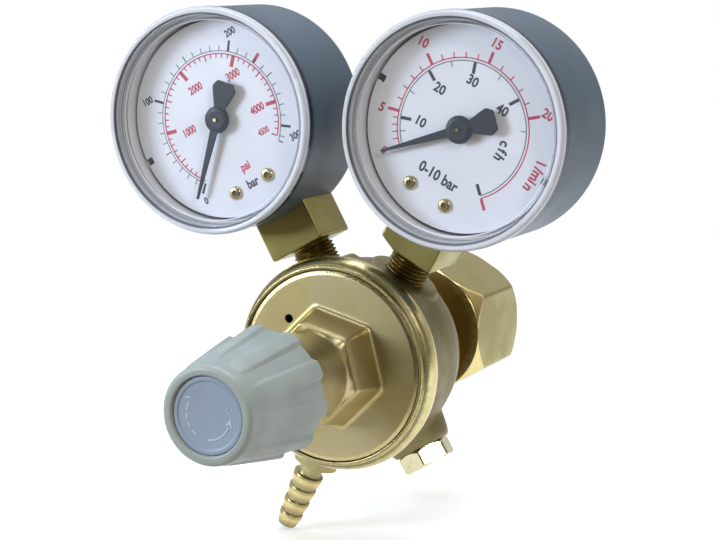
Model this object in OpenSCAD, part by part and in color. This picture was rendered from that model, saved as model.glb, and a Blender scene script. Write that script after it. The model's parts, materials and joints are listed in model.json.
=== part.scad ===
// Two-gauge regulator for a gas cylinder: forged brass body, screwed bonnet with a fluted knob,
// a contents gauge and a flow gauge with their Bourdon movements, hose tail, relief valve and inlet nut.
// Millimetres, +Z up. The inlet axis runs along +Y and the knob faces -Y.
// The origin is the centre of the inlet's sealing face.

/* [Body] */
// From the sealing face to the back of the body
body_standoff = 34.7; // [33:0.1:42]
// Depth of the body from its back to its front rim
body_depth = 25.3; // [25:0.1:30]
// Diameter over the bead round the rim
rim_d = 47.4; // [46:0.2:54]
// Diameter of the body behind the bead
barrel_d = 43.6; // [43:0.2:46]
// Diameter of the body's back face
back_d = 39.4; // [37:0.2:42]
// Diameter of the screwed joint between bonnet and rim
bonnet_d = 42.4; // [41:0.2:43]
// Depth of the bonnet's seat below the rim
bonnet_seat = 6; // [5.5:0.1:6.5]
// Diameter of the low-pressure chamber
chamber_d = 34; // [30:0.5:36]
// Depth of the low-pressure chamber
chamber_depth = 3.5; // [3:0.1:3.8]
// Diameter of the high-pressure bore
high_bore_d = 11; // [10.6:0.2:12]

/* [Gauge ports] */
// Lean of each gauge stem from upright, in degrees
gauge_angle = 29; // [28:0.5:33]
// Distance of the gauge ports behind the rim
port_setback = 16.4; // [16:0.1:17]
// Diameter of the port bosses
port_boss_d = 14.6; // [13.6:0.2:16]
// Height of the boss tops above the main axis
port_boss_reach = 21.2; // [21:0.1:24]
// Diameter of the gauge thread
stem_thread_d = 9.7; // [9:0.1:10.2]
// Length of gauge thread inside the body
stem_engagement = 5.6; // [5:0.1:6]
// Thickness of the copper washer under each stem
stem_washer_t = 1.2; // [0.8:0.1:1.5]

/* [Outlet] */
// Lean of the hose tail from straight down, towards -X, in degrees
outlet_angle = 25; // [20:1:30]
// Distance of the outlet behind the rim
outlet_setback = 16; // [15:0.1:17]
// Diameter of the outlet boss
outlet_boss_d = 13; // [12:0.5:15]
// Height of the outlet boss above the main axis
outlet_boss_reach = 24.4; // [24:0.1:27]
// Thread diameter of the hose tail
tail_thread_d = 8; // [7:0.5:9]
// Distance across the flats of the hose tail's hexagon
tail_hex_w = 10; // [10:0.5:11]
// Length of the hose tail outside the body
tail_len = 22; // [20:0.5:30]
// Diameter over the largest barb
barb_d = 7; // [6.4:0.1:7.5]
// Loss of diameter from one barb to the next
barb_step = 0.5; // [0.2:0.1:0.5]
// Distance between barbs
barb_pitch = 3.5; // [3:0.1:3.8]
// Number of barbs
barbs = 4; // [3:1:4]
// Gas passage of the hose tail
tail_bore_d = 3.2; // [2.6:0.1:3.6]

/* [Relief valve] */
// Lean of the relief valve from straight down, towards +X, in degrees
relief_angle = 31; // [28:1:35]
// Distance of the relief valve behind the rim
relief_setback = 20.6; // [20:0.1:21]
// Diameter of the relief boss
relief_boss_d = 12; // [11:0.5:12.5]
// Height of the relief boss above the main axis
relief_boss_reach = 24.9; // [24:0.1:27]
// Distance across the flats of the relief valve
relief_hex_w = 11; // [10:0.5:12]
// Length of the relief valve's hexagon
relief_hex_len = 4; // [3.8:0.1:8]
// Thread diameter of the relief valve
relief_thread_d = 7.2; // [7:0.1:8]
// Lift of the relief valve
relief_lift = 1; // [0.5:0.1:1.2]

/* [Bonnet] */
// Distance across the flats at the foot of the bonnet's hexagon
bonnet_hex_w = 23; // [22:0.5:25]
// Height of the bonnet's hexagon
bonnet_hex_h = 8.4; // [7:0.1:10]
// Diameter of the spring tower
tower_d = 18.6; // [18.2:0.1:19]
// Height of the spring tower above the bonnet disc
tower_h = 30; // [29:0.5:32]
// Thickness of the tower's threaded end
tower_end_t = 6; // [5:0.5:7]
// Bore of the spring tower
spring_bore_d = 15.6; // [15.4:0.1:15.8]
// Diameter of the vent hole
vent_d = 2; // [1.5:0.1:2.5]
// Distance of the vent hole from the main axis
vent_reach = 13.9; // [13.5:0.1:15]

/* [Adjuster] */
// Thread diameter of the adjusting screw
screw_d = 8; // [7:0.5:8]
// Advance of the screw in one turn
screw_pitch = 1.25; // [1:0.25:1.25]
// Turns from backed off to full pressure
screw_turns = 6; // [4:1:6]
// Diameter of the knob over its ribs at the rear
knob_d = 28; // [27:0.2:32]
// Diameter of the knob's front edge
knob_front_d = 20; // [19:0.2:24]
// Length of the knob
knob_len = 24.6; // [24:0.2:28]
// Gap between the bonnet disc and the knob
knob_gap = 27.6; // [26:0.2:28]
// Number of ribs on the knob
ribs = 10; // [6:1:12]
// Width of one rib
rib_w = 3.2; // [2:0.1:4]
// Height of the ribs at the rear of the knob
rib_h = 0.9; // [0.5:0.1:1.2]
// Diameter of the knob's cap
cap_d = 15.8; // [14:0.2:16]
// Wire diameter of the range spring
range_wire_d = 2; // [1.6:0.1:2]
// Coils of the range spring
range_coils = 6; // [5:0.5:7]

/* [Inlet] */
// Distance across the flats of the inlet nut
nut_w = 30; // [29:0.5:34]
// Length of the inlet nut
nut_len = 25; // [24:0.5:28]
// How far the nut reaches past the sealing face
nut_overhang = 12; // [10:0.5:14]
// Bore of the nut's thread
nut_thread_d = 19.6; // [19.2:0.1:20.5]
// Distance across the flats of the nipple's hexagon
nipple_hex_w = 22; // [21:0.5:24]
// Diameter of the nipple's neck
neck_d = 12.8; // [11:0.2:13]
// Diameter of the nipple's flange
flange_d = 18.2; // [17:0.1:18.8]
// Gas passage of the nipple
nipple_bore_d = 4; // [3:0.1:4.2]

/* [Gauge] */
// Outside diameter of the window
window_d = 50; // [49:0.2:54]
// Distance from the main axis to a gauge's centre
gauge_reach = 59.8; // [59:0.1:64]
// Depth of a gauge from its window to its back
gauge_depth = 27; // [26.5:0.1:30]
// Step from the window's edge in to the case
case_step = 1.1; // [1:0.1:1.3]
// Wall of the case
case_wall = 1.6; // [1.4:0.1:2]
// Distance of the gauge ports behind the front of the windows
window_setback = 17.4; // [17.2:0.1:17.6]
// Width of the square stem block
stem_block_w = 13.8; // [13:0.1:14]
// Distance from the main axis to the bottom of the stem block
stem_block_reach = 26.8; // [25.5:0.1:29]
// Gap round the dial inside the case
dial_gap = 0.4; // [0.3:0.1:0.8]

/* [Movement] */
// Tooth module
gear_module = 0.22; // [0.2:0.01:0.22]
// Teeth of the pinion
pinion_teeth = 12; // [12:1:14]
// Teeth of the full circle that the sector is cut from
sector_teeth = 90; // [84:2:92]
// Swing of the sector from zero to full scale, in degrees
sector_swing = 36; // [30:1:36]
// Mean radius of the Bourdon tube
tube_r = 17; // [16.8:0.1:17.4]
// Width of the Bourdon tube
tube_w = 5; // [4.4:0.1:5.4]
// Thickness of the flattened tube
tube_t = 1.8; // [1.4:0.1:2]
// Length of the sector's tail
tail_arm = 6; // [5:0.1:6]
// Length of the pointer from the arbor to its tip
pointer_len = 18.6; // [16:0.2:19.5]

/* [Hidden] */
$fn = 96;

cut = 1;
running_fit = 0.05;
part_gap = 0.3;
corner = 0.4;

// Stations along the main axis
back_y = -body_standoff;
rim_y = back_y - body_depth;
seat_y = rim_y + bonnet_seat;
floor_y = seat_y + chamber_depth;
port_y = rim_y + port_setback;
outlet_y = rim_y + outlet_setback;
relief_y = rim_y + relief_setback;
disc_y = rim_y - corner;

// Body
bead_r = 3.2;
bead_y = rim_y + 3.6;
boss_root_r = 14;
clear_r = max(rim_d, barrel_d);
boss_flare = 2.4;
low_way_d = 2.4;
low_way_r = 12;

// Valve
nozzle_len = 4;
nozzle_d = 8;
nozzle_bore_d = 1.8;
nozzle_lip_d = 2.6;
seat_lip = 0.5;
nozzle_y = floor_y + nozzle_len;
poppet_y = nozzle_y + seat_lip;
poppet_d = 6.4;
poppet_t = 3.2;
poppet_spigot_d = 2.6;
pin_end_d = 1.2;
valve_seat_d = 5;
valve_seat_t = 1;
closing_wire_d = 0.7;
closing_spring_r = (poppet_spigot_d + closing_wire_d) / 2 + part_gap + 0.15;
diaphragm_t = 1;
slip_ring_t = 0.5;
clamp_y = seat_y - diaphragm_t - slip_ring_t;
plate_t = 1.6;
plate_y = seat_y - diaphragm_t - plate_t;
plate_d = 26;
hub_d = 4;
pusher_y = seat_y;
pusher_t = 1;
pusher_d = 14;

// Bonnet and adjuster
bonnet_hex_turn = 17;
tower_y = disc_y - tower_h;
tower_inner_y = tower_y + tower_end_t;
travel = screw_turns * screw_pitch;
button_t = 3;
button_y = tower_inner_y + 1.5;
button_d = spring_bore_d - 2 * part_gap;
dimple_d = screw_d - 2;
dimple_depth = 1.8;
pilot_h = 1.6;
range_spring_r = (button_d - range_wire_d) / 2 - part_gap;
spring_pilot_d = 2 * range_spring_r - range_wire_d - 2 * part_gap;
knob_rear_y = disc_y - knob_gap;
knob_front_y = knob_rear_y - knob_len;
knob_round = 1;
rib_turn = 62.8;
knob_cavity_d = tower_d + 1.8;
knob_web_y = tower_y - travel - 3;
cap_t = 1.4;
cap_recess = 0.7;
cap_plug_t = 0.8;
cap_y = knob_front_y + cap_recess;
square_w = 5.6;
square_len = 5;
screw_head_d = 6.4;
screw_head_t = 1.8;
screw_shank_d = 3;
screw_grip = 4;
screw_top_y = knob_web_y - square_len;
knob_pocket_d = 8;
knob_pocket_y = cap_y + cap_t + cap_plug_t + corner / 2 + screw_head_t;

// Inlet
shank_d = 14;
shank_y = back_y - 6.8;
face_y = -0.6;
seal_t = 1.8;
seal_inner_d = 8.6;
seal_outer_d = flange_d - 1.8;
flange_t = 6;
flange_y = face_y - flange_t;
nipple_hex_t = 6;
nipple_gasket_t = 1;
nut_face_y = nut_overhang - nut_len;
nut_shoulder_y = flange_y - part_gap;
nut_relief_d = nut_thread_d + 0.9;
nut_chamfer = 1;
filter_d = 6.4;
filter_len = 10;
spring_well_d = 6.6;
spring_well = 4.6;

// Ports
stem_end_r = port_boss_reach - stem_engagement;
port_floor_r = stem_end_r - stem_washer_t;
stem_bore_d = 2.4;
tail_engagement = 7.9;
tail_shank_r = outlet_boss_reach - tail_engagement;
tail_hex_t = 4.6;
orifice_t = 2;
orifice_d = 0.8;
barb_neck_d = barb_d - 1.6;
barb_slope = 1.6;
land_len = 1.2;
relief_depth = 7.3;
relief_seat_r = relief_boss_reach - relief_depth;
relief_shank_r = relief_seat_r + 2;
relief_seat_d = 2;
relief_bore_d = relief_thread_d - 2.4;
relief_wall = 1.2;
relief_hex_turn = 17;
relief_poppet_len = 3;
relief_pilot_d = 2;
relief_wire_d = 0.5;
relief_spring_r = (relief_bore_d - relief_wire_d) / 2 - 0.4;
relief_end_r = relief_boss_reach + relief_hex_len;

// Gauge, in its own frame: x right, y out along the stem, z towards the reader, window front at z = 0
front_y = port_y - window_setback;
stem_z = -window_setback;
window_t = 1.2;
rim_h = 0.6;
skirt_h = 5.2;
window_sight_r = window_d / 2 - 3.5;
case_r = window_d / 2 - case_step;
case_round = 2;
spigot_r = case_r - 0.5;
bore_r = case_r - case_wall;
dial_d = 2 * (bore_r - dial_gap);
case_floor_z = case_wall - gauge_depth;

// Layers of the movement, from the back plate forward
tube_cover = 0.5;
socket_face_z = stem_z + tube_w / 2 + tube_cover;
socket_back_z = stem_z - tube_w / 2 - 1.4;
plate_gauge = 1;
back_plate_z = socket_face_z;
spring_z = back_plate_z + 1.5;
spring_w = 0.6;
link_z = spring_z + spring_w;
link_t = 0.7;
sector_z = link_z + 1.3;
sector_t = 0.9;
front_plate_z = sector_z + 2.2;
dial_lift = 3.3;
dial_z = front_plate_z + dial_lift;
dial_t = 0.5;
pointer_lift = 2.1;
pointer_z = dial_z + pointer_lift;
pointer_t = 0.5;

// Socket, screws and dial
column_w = 13.6;
column_foot_y = case_wall - bore_r;
column_top_y = 4.4 - tube_r;
tube_way_d = 1.2;
post_x = 4.6;
post_y = 1 - tube_r;
post_d = 3;
dial_screw_d = 1.4;
dial_screw_len = 4;
dial_head_d = 3.1;
dial_head_t = 0.8;
dial_hole_r = 1.5;
dial_notch = 1.6;
frame_screw_x = 1.3;
frame_screw_y = column_top_y - 1.4;
frame_screw_d = 1;
frame_screw_len = 1.8;
frame_head_d = 2.2;
frame_head_t = 0.7;
tab_w = 5.2;
shoulder_w = 4.1;
shoulder_h = 1.6;

// Gears, link and pointer
pressure_angle = 25;
tooth_tip = 0.8;
tooth_root = 1;
tooth_thin = 0.05;
flank_steps = 4;
pinion_r = gear_module * pinion_teeth / 2;
pinion_w = 1.6;
sector_r = gear_module * sector_teeth / 2;
sector_ring = 1.6;
sector_hub_r = 1.9;
arm_turn = 6;
mesh_angle = -66;
mesh_r = pinion_r + sector_r;
pivot = mesh_r * [cos(mesh_angle), sin(mesh_angle)];
tail_rest = -sector_swing / 2;
tail_hole = pivot + tail_arm * [cos(tail_rest), sin(tail_rest)];
tail_w = 2.2;
pin_d = 1.1;
arbor_d = 0.8;
link_play = tail_arm * (1 - cos(sector_swing / 2)) + 0.06;
tip_sweep = 18;
tip_wall = 0.5;
tip_pin = (tube_r - 0.5) * [cos(-10), sin(-10)];
tube_start = 258;
tube_socket_turn = 40;
tube_end = 4;
tube_wall = 0.3;
pillar_a = [-7, -8.8];
pillar_b = [7.6, 6];
pillar_d = 2.4;
frame_w = 4.4;
collet_r = 1;
stud_angle = atan2(pillar_a[1], pillar_a[0]);
stud_r = 4.6;
stud_d = 0.9;
spring_strip = 0.2;
spring_turns = 4;
spring_steps = 20;
pointer_hub_r = 2.7;
pointer_root = 0.9;
pointer_point = 0.2;
fan_reach = 8.4;
fan_half = 2.7;
fan_round = 0.8;
dial_zero = 225;

// Places a shape drawn up its own z axis along the main axis
module axial(y = 0) translate([0, y, 0]) rotate([-90, 0, 0]) children();

// Places a shape drawn up its own z axis along a radius, leaning by angle from +Z towards +X
module radial(angle, y) rotate([0, angle, 0]) translate([0, y, 0]) children();

// Solid rod on the main axis between two stations
module rod(d, from, to) axial(from) cylinder(d = d, h = to - from);

// Solid rod on a radius between two distances from the main axis
module spoke(angle, y, d, from, to) radial(angle, y) translate([0, 0, from]) cylinder(d = d, h = to - from);

// Rod beside the main axis, on the radius that leans by angle
module off_axis_rod(angle, r, d, from, to)
    rotate([0, angle, 0]) translate([0, 0, r]) axial(from) cylinder(d = d, h = to - from);

// Hexagonal prism of width w across its flats
module hexagon(w, h) cylinder(d = w / cos(30), h = h, $fn = 6);

// Hexagonal prism with both ends turned to a cone, as nuts and hexagon bars are
module chamfered_hexagon(w, h) intersection() {
    hexagon(w, h);
    rotate_extrude() polygon([
        [0, 0], [w / 2 + corner, 0], [w / 2 + w * 0.12, w * 0.05],
        [w / 2 + w * 0.12, h - w * 0.05], [w / 2 + corner, h], [0, h]
    ]);
}

// Points of an arc about [x, y], n steps from angle a to angle b
function arc(x, y, r, a, b, n) = [for (i = [0:n]) [x + r * cos(a + (b - a) * i / n), y + r * sin(a + (b - a) * i / n)]];

// Helical compression spring up the z axis, with closed ends
module helix(mean_r, wire_d, height, coils, sides = 8, steps = 20) {
    rings = ceil(coils * steps);
    rise = height - wire_d;
    function turn(i) = i / rings * coils * 360;
    function ramp(t) = min(1, max(0, (t - 0.12) / 0.76));
    points = [for (i = [0:rings], k = [0:sides - 1])
        let (r = mean_r + wire_d / 2 * cos(k * 360 / sides), a = turn(i))
        [r * cos(a), r * sin(a), wire_d / 2 + rise * ramp(i / rings) + wire_d / 2 * sin(k * 360 / sides)]];
    faces = concat(
        [[for (k = [0:sides - 1]) k]],
        [for (i = [0:rings - 1], k = [0:sides - 1])
            [i * sides + k, (i + 1) * sides + k, (i + 1) * sides + (k + 1) % sides, i * sides + (k + 1) % sides]],
        [[for (k = [sides - 1:-1:0]) rings * sides + k]]
    );
    polyhedron(points, faces, convexity = 10);
}

// Boss on a radius, with a root that flares into the barrel
module boss(angle, y, d, reach) {
    spoke(angle, y, d, boss_root_r, reach);
    radial(angle, y) translate([0, 0, boss_root_r])
        cylinder(d1 = d + 2 * boss_flare, d2 = d, h = reach - corner - boss_root_r);
}

module body_forging() color("darkkhaki") difference() {
    union() {
        axial() rotate_extrude() polygon(concat(
            [[0, disc_y], [rim_d / 2 - bead_r / 2, disc_y]],
            arc(rim_d / 2 - bead_r, bead_y, bead_r, -60, 60, 8),
            [[barrel_d / 2, bead_y + 1.3 * bead_r], [barrel_d / 2 - 0.6, back_y - 5],
             [back_d / 2 + 0.3, back_y - 1], [back_d / 2 - 0.6, back_y], [0, back_y]]
        ));
        intersection() {
            union() {
                for (angle = [-gauge_angle, gauge_angle]) boss(angle, port_y, port_boss_d, port_boss_reach);
                boss(180 + outlet_angle, outlet_y, outlet_boss_d, outlet_boss_reach);
                boss(180 - relief_angle, relief_y, relief_boss_d, relief_boss_reach);
            }
            rod(4 * rim_d, bead_y, back_y);
        }
        spoke(180 - relief_angle, relief_y, relief_boss_d, boss_root_r, relief_boss_reach);
    }
    rod(bonnet_d, disc_y - cut, seat_y);
    rod(chamber_d, seat_y - cut, floor_y);
    rod(nozzle_d, floor_y - cut, nozzle_y);
    rod(high_bore_d, nozzle_y, shank_y + cut);
    rod(shank_d, shank_y, back_y + cut);
    for (angle = [-gauge_angle, gauge_angle])
        spoke(angle, port_y, stem_thread_d, port_floor_r, clear_r);
    spoke(-gauge_angle, port_y, stem_bore_d, 0, port_floor_r + cut);
    spoke(gauge_angle, port_y, stem_bore_d, low_way_r, port_floor_r + cut);
    off_axis_rod(gauge_angle, low_way_r, low_way_d, floor_y - cut, port_y + low_way_d / 2);
    spoke(180 + outlet_angle, outlet_y, tail_thread_d, tail_shank_r - orifice_t, clear_r);
    spoke(180 + outlet_angle, outlet_y, low_way_d, low_way_r, tail_shank_r);
    off_axis_rod(180 + outlet_angle, low_way_r, low_way_d, floor_y - cut, outlet_y + low_way_d / 2);
    spoke(180 - relief_angle, relief_y, relief_thread_d, relief_seat_r, clear_r);
    spoke(180 - relief_angle, relief_y, relief_seat_d, low_way_r, relief_seat_r + cut);
    off_axis_rod(180 - relief_angle, low_way_r, low_way_d, floor_y - cut, relief_y + low_way_d / 2);
}

module bonnet() color("khaki") difference() {
    union() {
        rod(bonnet_d, disc_y, clamp_y);
        axial() rotate_extrude() polygon([
            [0, tower_y], [tower_d / 2 - 3 * corner, tower_y], [tower_d / 2 - corner, tower_y + 2 * corner],
            [tower_d / 2, disc_y - bonnet_hex_h], [tower_d / 2, disc_y + cut], [0, disc_y + cut]
        ]);
        axial(disc_y) mirror([0, 0, 1]) rotate([0, 0, bonnet_hex_turn]) hull() {
            for (a = [0:60:300]) rotate([0, 0, a]) {
                translate([bonnet_hex_w / 2 / cos(30) - 1.6, 0, -cut]) cylinder(r = 1.5, h = cut, $fn = 16);
                translate([tower_d / 2 / cos(30) - 0.9, 0, bonnet_hex_h - corner]) cylinder(r = 0.8, h = corner, $fn = 16);
            }
        }
    }
    rod(spring_bore_d, tower_inner_y, clamp_y + cut);
    rod(chamber_d, plate_y - 1.2, clamp_y + cut);
    rod(screw_d + 2 * running_fit, tower_y - cut, tower_inner_y + cut);
    off_axis_rod(-45, vent_reach, vent_d, disc_y - cut, clamp_y + cut);
}

module nozzle() color("gold") difference() {
    union() {
        rod(nozzle_d, floor_y, nozzle_y);
        axial(nozzle_y) cylinder(d1 = nozzle_lip_d + 2 * corner, d2 = nozzle_lip_d, h = seat_lip);
    }
    rod(nozzle_bore_d, floor_y - cut, poppet_y + cut);
    axial(floor_y) translate([-nozzle_d, -corner, -cut]) cube([2 * nozzle_d, 2 * corner, cut + 2 * corner]);
}

module inlet_nipple() color("peru") difference() {
    hex_y = back_y + nipple_gasket_t;
    union() {
        rod(shank_d, shank_y, back_y);
        rod(shank_d - 1, back_y - cut, hex_y + cut);
        axial(hex_y) rotate([0, 0, 30]) chamfered_hexagon(nipple_hex_w, nipple_hex_t);
        axial() rotate_extrude() polygon([
            [0, hex_y + cut], [neck_d / 2 + 1, hex_y + cut], [neck_d / 2 + 1, hex_y + nipple_hex_t],
            [neck_d / 2, hex_y + nipple_hex_t + 1], [neck_d / 2, flange_y], [flange_d / 2, flange_y],
            [flange_d / 2, face_y - corner], [flange_d / 2 - corner, face_y], [0, face_y]
        ]);
    }
    rod(nipple_bore_d, shank_y - cut, face_y + cut);
    rod(spring_well_d, shank_y - cut, shank_y + spring_well);
    rod(filter_d, -seal_t - filter_len, face_y + cut);
    difference() {
        rod(seal_outer_d, -seal_t, face_y + cut);
        rod(seal_inner_d, -seal_t - cut, face_y + 2 * cut);
    }
}

module nipple_gasket() color("chocolate") difference() {
    rod(nipple_hex_w - 2, back_y, back_y + nipple_gasket_t);
    rod(shank_d - 1, back_y - cut, back_y + nipple_gasket_t + cut);
}

module inlet_filter() color("tan") difference() {
    rod(filter_d, -seal_t - filter_len, -seal_t);
    rod(filter_d / 2, -seal_t - filter_len - cut, -seal_t - filter_d / 2);
}

module inlet_seal() color("dimgray") difference() {
    rod(seal_outer_d, -seal_t, 0);
    rod(seal_inner_d, -seal_t - cut, cut);
}

module inlet_nut() color("darkkhaki") difference() {
    axial(nut_face_y) rotate([0, 0, 30]) chamfered_hexagon(nut_w, nut_len);
    rod(neck_d + 2 * part_gap, nut_face_y - cut, nut_overhang);
    rod(nut_relief_d, nut_shoulder_y, 0);
    rod(nut_thread_d, -cut, nut_overhang + cut);
    axial(nut_overhang - nut_chamfer)
        cylinder(d1 = nut_thread_d, d2 = nut_thread_d + 4 * nut_chamfer, h = 2 * nut_chamfer);
}

module slip_ring() color("silver") difference() {
    rod(bonnet_d - corner, clamp_y, clamp_y + slip_ring_t);
    rod(chamber_d, clamp_y - cut, seat_y);
}

module diaphragm() color("dimgray") difference() {
    rod(bonnet_d - corner, seat_y - diaphragm_t, seat_y);
    rod(hub_d, seat_y - diaphragm_t - cut, seat_y + cut);
}

module diaphragm_plate() color("lightgray") union() {
    rod(plate_d, plate_y, plate_y + plate_t);
    rod(spring_pilot_d, plate_y - pilot_h, plate_y + corner);
    rod(hub_d, plate_y, pusher_y);
}

module pusher_disc() color("silver") axial(pusher_y) cylinder(d1 = pusher_d, d2 = pusher_d - 2, h = pusher_t);

module valve_poppet() color("silver") union() {
    rod(pin_end_d, pusher_y + pusher_t, poppet_y + cut);
    difference() {
        axial(poppet_y) rotate_extrude() polygon([
            [0, 0], [poppet_d / 2, 0], [poppet_d / 2, poppet_t - 2 * corner], [poppet_d / 2 - 2 * corner, poppet_t],
            [poppet_spigot_d / 2, poppet_t], [poppet_spigot_d / 2, poppet_t + 1.8], [0, poppet_t + 1.8]
        ]);
        difference() {
            rod(valve_seat_d, poppet_y - cut, poppet_y + valve_seat_t);
            rod(nozzle_bore_d, poppet_y - 2 * cut, poppet_y + 2 * cut);
        }
    }
}

module poppet_seat() color("ivory") difference() {
    rod(valve_seat_d, poppet_y, poppet_y + valve_seat_t);
    rod(nozzle_bore_d, poppet_y - cut, poppet_y + valve_seat_t + cut);
}

module closing_spring() color("silver") axial(poppet_y + poppet_t + 0.1)
    helix(closing_spring_r, closing_wire_d, shank_y + spring_well - poppet_y - poppet_t - 0.2, 5, 6, 16);

module range_spring() color("silver") axial(button_y + button_t + 0.1)
    helix(range_spring_r, range_wire_d, plate_y - button_y - button_t - 0.2, range_coils, 8, 20);

module spring_button() color("silver") difference() {
    union() {
        rod(button_d, button_y, button_y + button_t);
        rod(spring_pilot_d, button_y + cut, button_y + button_t + pilot_h);
    }
    axial(button_y) cylinder(d1 = dimple_d, d2 = 0, h = dimple_depth);
}

module adjusting_screw() color("silver") difference() {
    union() {
        axial() rotate_extrude() polygon([
            [0, knob_web_y], [screw_d / 2, knob_web_y], [screw_d / 2, button_y - corner],
            [dimple_d / 2, button_y - corner], [0, button_y + dimple_depth - corner]
        ]);
        axial(screw_top_y) translate([-square_w / 2, -square_w / 2, 0]) cube([square_w, square_w, square_len + cut]);
    }
    rod(screw_shank_d, screw_top_y - cut, screw_top_y + screw_grip);
}

// The knob's turned form, raised by lift over the flutes at its rear
module knob_profile(lift) axial() rotate_extrude() polygon(concat(
    [[0, knob_front_y]],
    arc(knob_front_d / 2 - knob_round, knob_front_y + knob_round, knob_round, -90, 0, 5),
    [[knob_front_d / 2 + lift / 2, knob_front_y + 3 * knob_round + 2 * lift],
     [knob_d / 2 - rib_h + lift, knob_rear_y - knob_round / 2],
     [knob_d / 2 - rib_h + lift - knob_round / 2, knob_rear_y], [0, knob_rear_y]]
));

module adjusting_knob() color("darkgray") difference() {
    union() {
        knob_profile(0);
        intersection() {
            knob_profile(rib_h);
            axial(knob_front_y) for (i = [0:ribs - 1]) rotate([0, 0, i * 360 / ribs - rib_turn])
                translate([0, -rib_w / 2, 0]) cube([knob_d, rib_w, knob_len]);
        }
    }
    rod(knob_cavity_d, knob_web_y, knob_rear_y + cut);
    axial(screw_top_y) translate([-square_w / 2, -square_w / 2, 0]) cube([square_w, square_w, square_len + cut]);
    rod(screw_shank_d, knob_pocket_y - cut, screw_top_y + cut);
    rod(knob_pocket_d, cap_y, knob_pocket_y);
    rod(cap_d, knob_front_y - cut, cap_y + cap_t);
}

module knob_screw() color("silver") difference() {
    union() {
        rod(screw_head_d, knob_pocket_y - screw_head_t, knob_pocket_y);
        rod(screw_shank_d, knob_pocket_y - corner, screw_top_y + screw_grip);
    }
    axial(knob_pocket_y - screw_head_t) translate([-screw_head_d, -corner, -cut])
        cube([2 * screw_head_d, 2 * corner, cut + screw_head_t / 2]);
}

module knob_cap() color("lightsteelblue") difference() {
    union() {
        rod(cap_d, cap_y, cap_y + cap_t);
        rod(knob_pocket_d, cap_y + corner, cap_y + cap_t + cap_plug_t);
    }
    rod(knob_pocket_d - 2, cap_y + cap_t, cap_y + cap_t + 1 + cut);
}

module flow_orifice() color("gold") radial(180 + outlet_angle, outlet_y) difference() {
    translate([0, 0, tail_shank_r - orifice_t]) cylinder(d = tail_thread_d, h = orifice_t);
    translate([0, 0, tail_shank_r - orifice_t - cut]) cylinder(d = orifice_d, h = orifice_t + 2 * cut);
}

module hose_tail() color("darkkhaki") radial(180 + outlet_angle, outlet_y) difference() {
    hex_top_r = outlet_boss_reach + tail_hex_t;
    tip_r = outlet_boss_reach + tail_len;
    first_land_r = tip_r - barbs * barb_pitch;
    union() {
        translate([0, 0, tail_shank_r]) cylinder(d = tail_thread_d, h = outlet_boss_reach - tail_shank_r + corner);
        translate([0, 0, outlet_boss_reach]) chamfered_hexagon(tail_hex_w, tail_hex_t);
        translate([0, 0, hex_top_r - corner]) cylinder(d = barb_neck_d, h = first_land_r - hex_top_r + 2 * corner);
        for (i = [0:barbs - 1]) translate([0, 0, first_land_r + i * barb_pitch]) {
            cylinder(d = barb_d - i * barb_step, h = land_len);
            translate([0, 0, land_len]) cylinder(
                d1 = barb_d - i * barb_step,
                d2 = barb_d - i * barb_step - barb_slope,
                h = barb_pitch - land_len
            );
        }
    }
    translate([0, 0, tail_shank_r - cut]) cylinder(d = tail_bore_d, h = tip_r);
}

module relief_housing() color("gold") radial(180 - relief_angle, relief_y) difference() {
    union() {
        translate([0, 0, relief_boss_reach]) rotate([0, 0, relief_hex_turn])
            chamfered_hexagon(relief_hex_w, relief_hex_len);
        translate([0, 0, relief_shank_r]) cylinder(d = relief_thread_d, h = relief_boss_reach - relief_shank_r + corner);
    }
    translate([0, 0, relief_shank_r - cut]) cylinder(d = relief_bore_d, h = relief_end_r - relief_wall - relief_shank_r + cut);
    translate([0, 0, relief_seat_r]) cylinder(d = relief_seat_d, h = relief_end_r);
}

module relief_poppet() color("silver") radial(180 - relief_angle, relief_y) union() {
    translate([0, 0, relief_seat_r]) cylinder(d = relief_bore_d - 2 * part_gap, h = relief_poppet_len);
    translate([0, 0, relief_seat_r]) cylinder(d = relief_pilot_d, h = relief_poppet_len + relief_lift);
}

module relief_spring() color("silver")
    radial(180 - relief_angle, relief_y) translate([0, 0, relief_seat_r + relief_poppet_len + 0.1])
        helix(relief_spring_r, relief_wire_d, relief_end_r - relief_wall - relief_seat_r - relief_poppet_len - 0.2, 6, 6, 14);

// Places a shape drawn in the gauge frame on the gauge that leans by angle
module on_gauge(angle)
    rotate([0, angle, 0]) translate([0, front_y, gauge_reach]) rotate([90, 0, 0]) children();

module gauge_case() color("darkslategray") difference() {
    rotate_extrude() polygon(concat(
        [[0, -gauge_depth]],
        arc(case_r - case_round, case_round - gauge_depth, case_round, -90, 0, 5),
        [[case_r, -skirt_h], [spigot_r, -skirt_h], [spigot_r, -rim_h - window_t], [0, -rim_h - window_t]]
    ));
    translate([0, 0, case_floor_z]) cylinder(r = bore_r, h = gauge_depth);
    translate([-stem_block_w / 2 - running_fit, -window_d, stem_z - stem_block_w / 2 - running_fit])
        cube([stem_block_w + 2 * running_fit, window_d, stem_block_w + 2 * running_fit]);
}

module gauge_window() color("lightcyan") rotate_extrude() polygon([
    [0, -rim_h - window_t], [0, -rim_h], [window_sight_r, -rim_h], [window_sight_r + rim_h / 2, 0],
    [window_d / 2 - rim_h, 0], [window_d / 2, -rim_h], [window_d / 2, -skirt_h],
    [spigot_r, -skirt_h], [spigot_r, -rim_h - window_t]
]);

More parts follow.
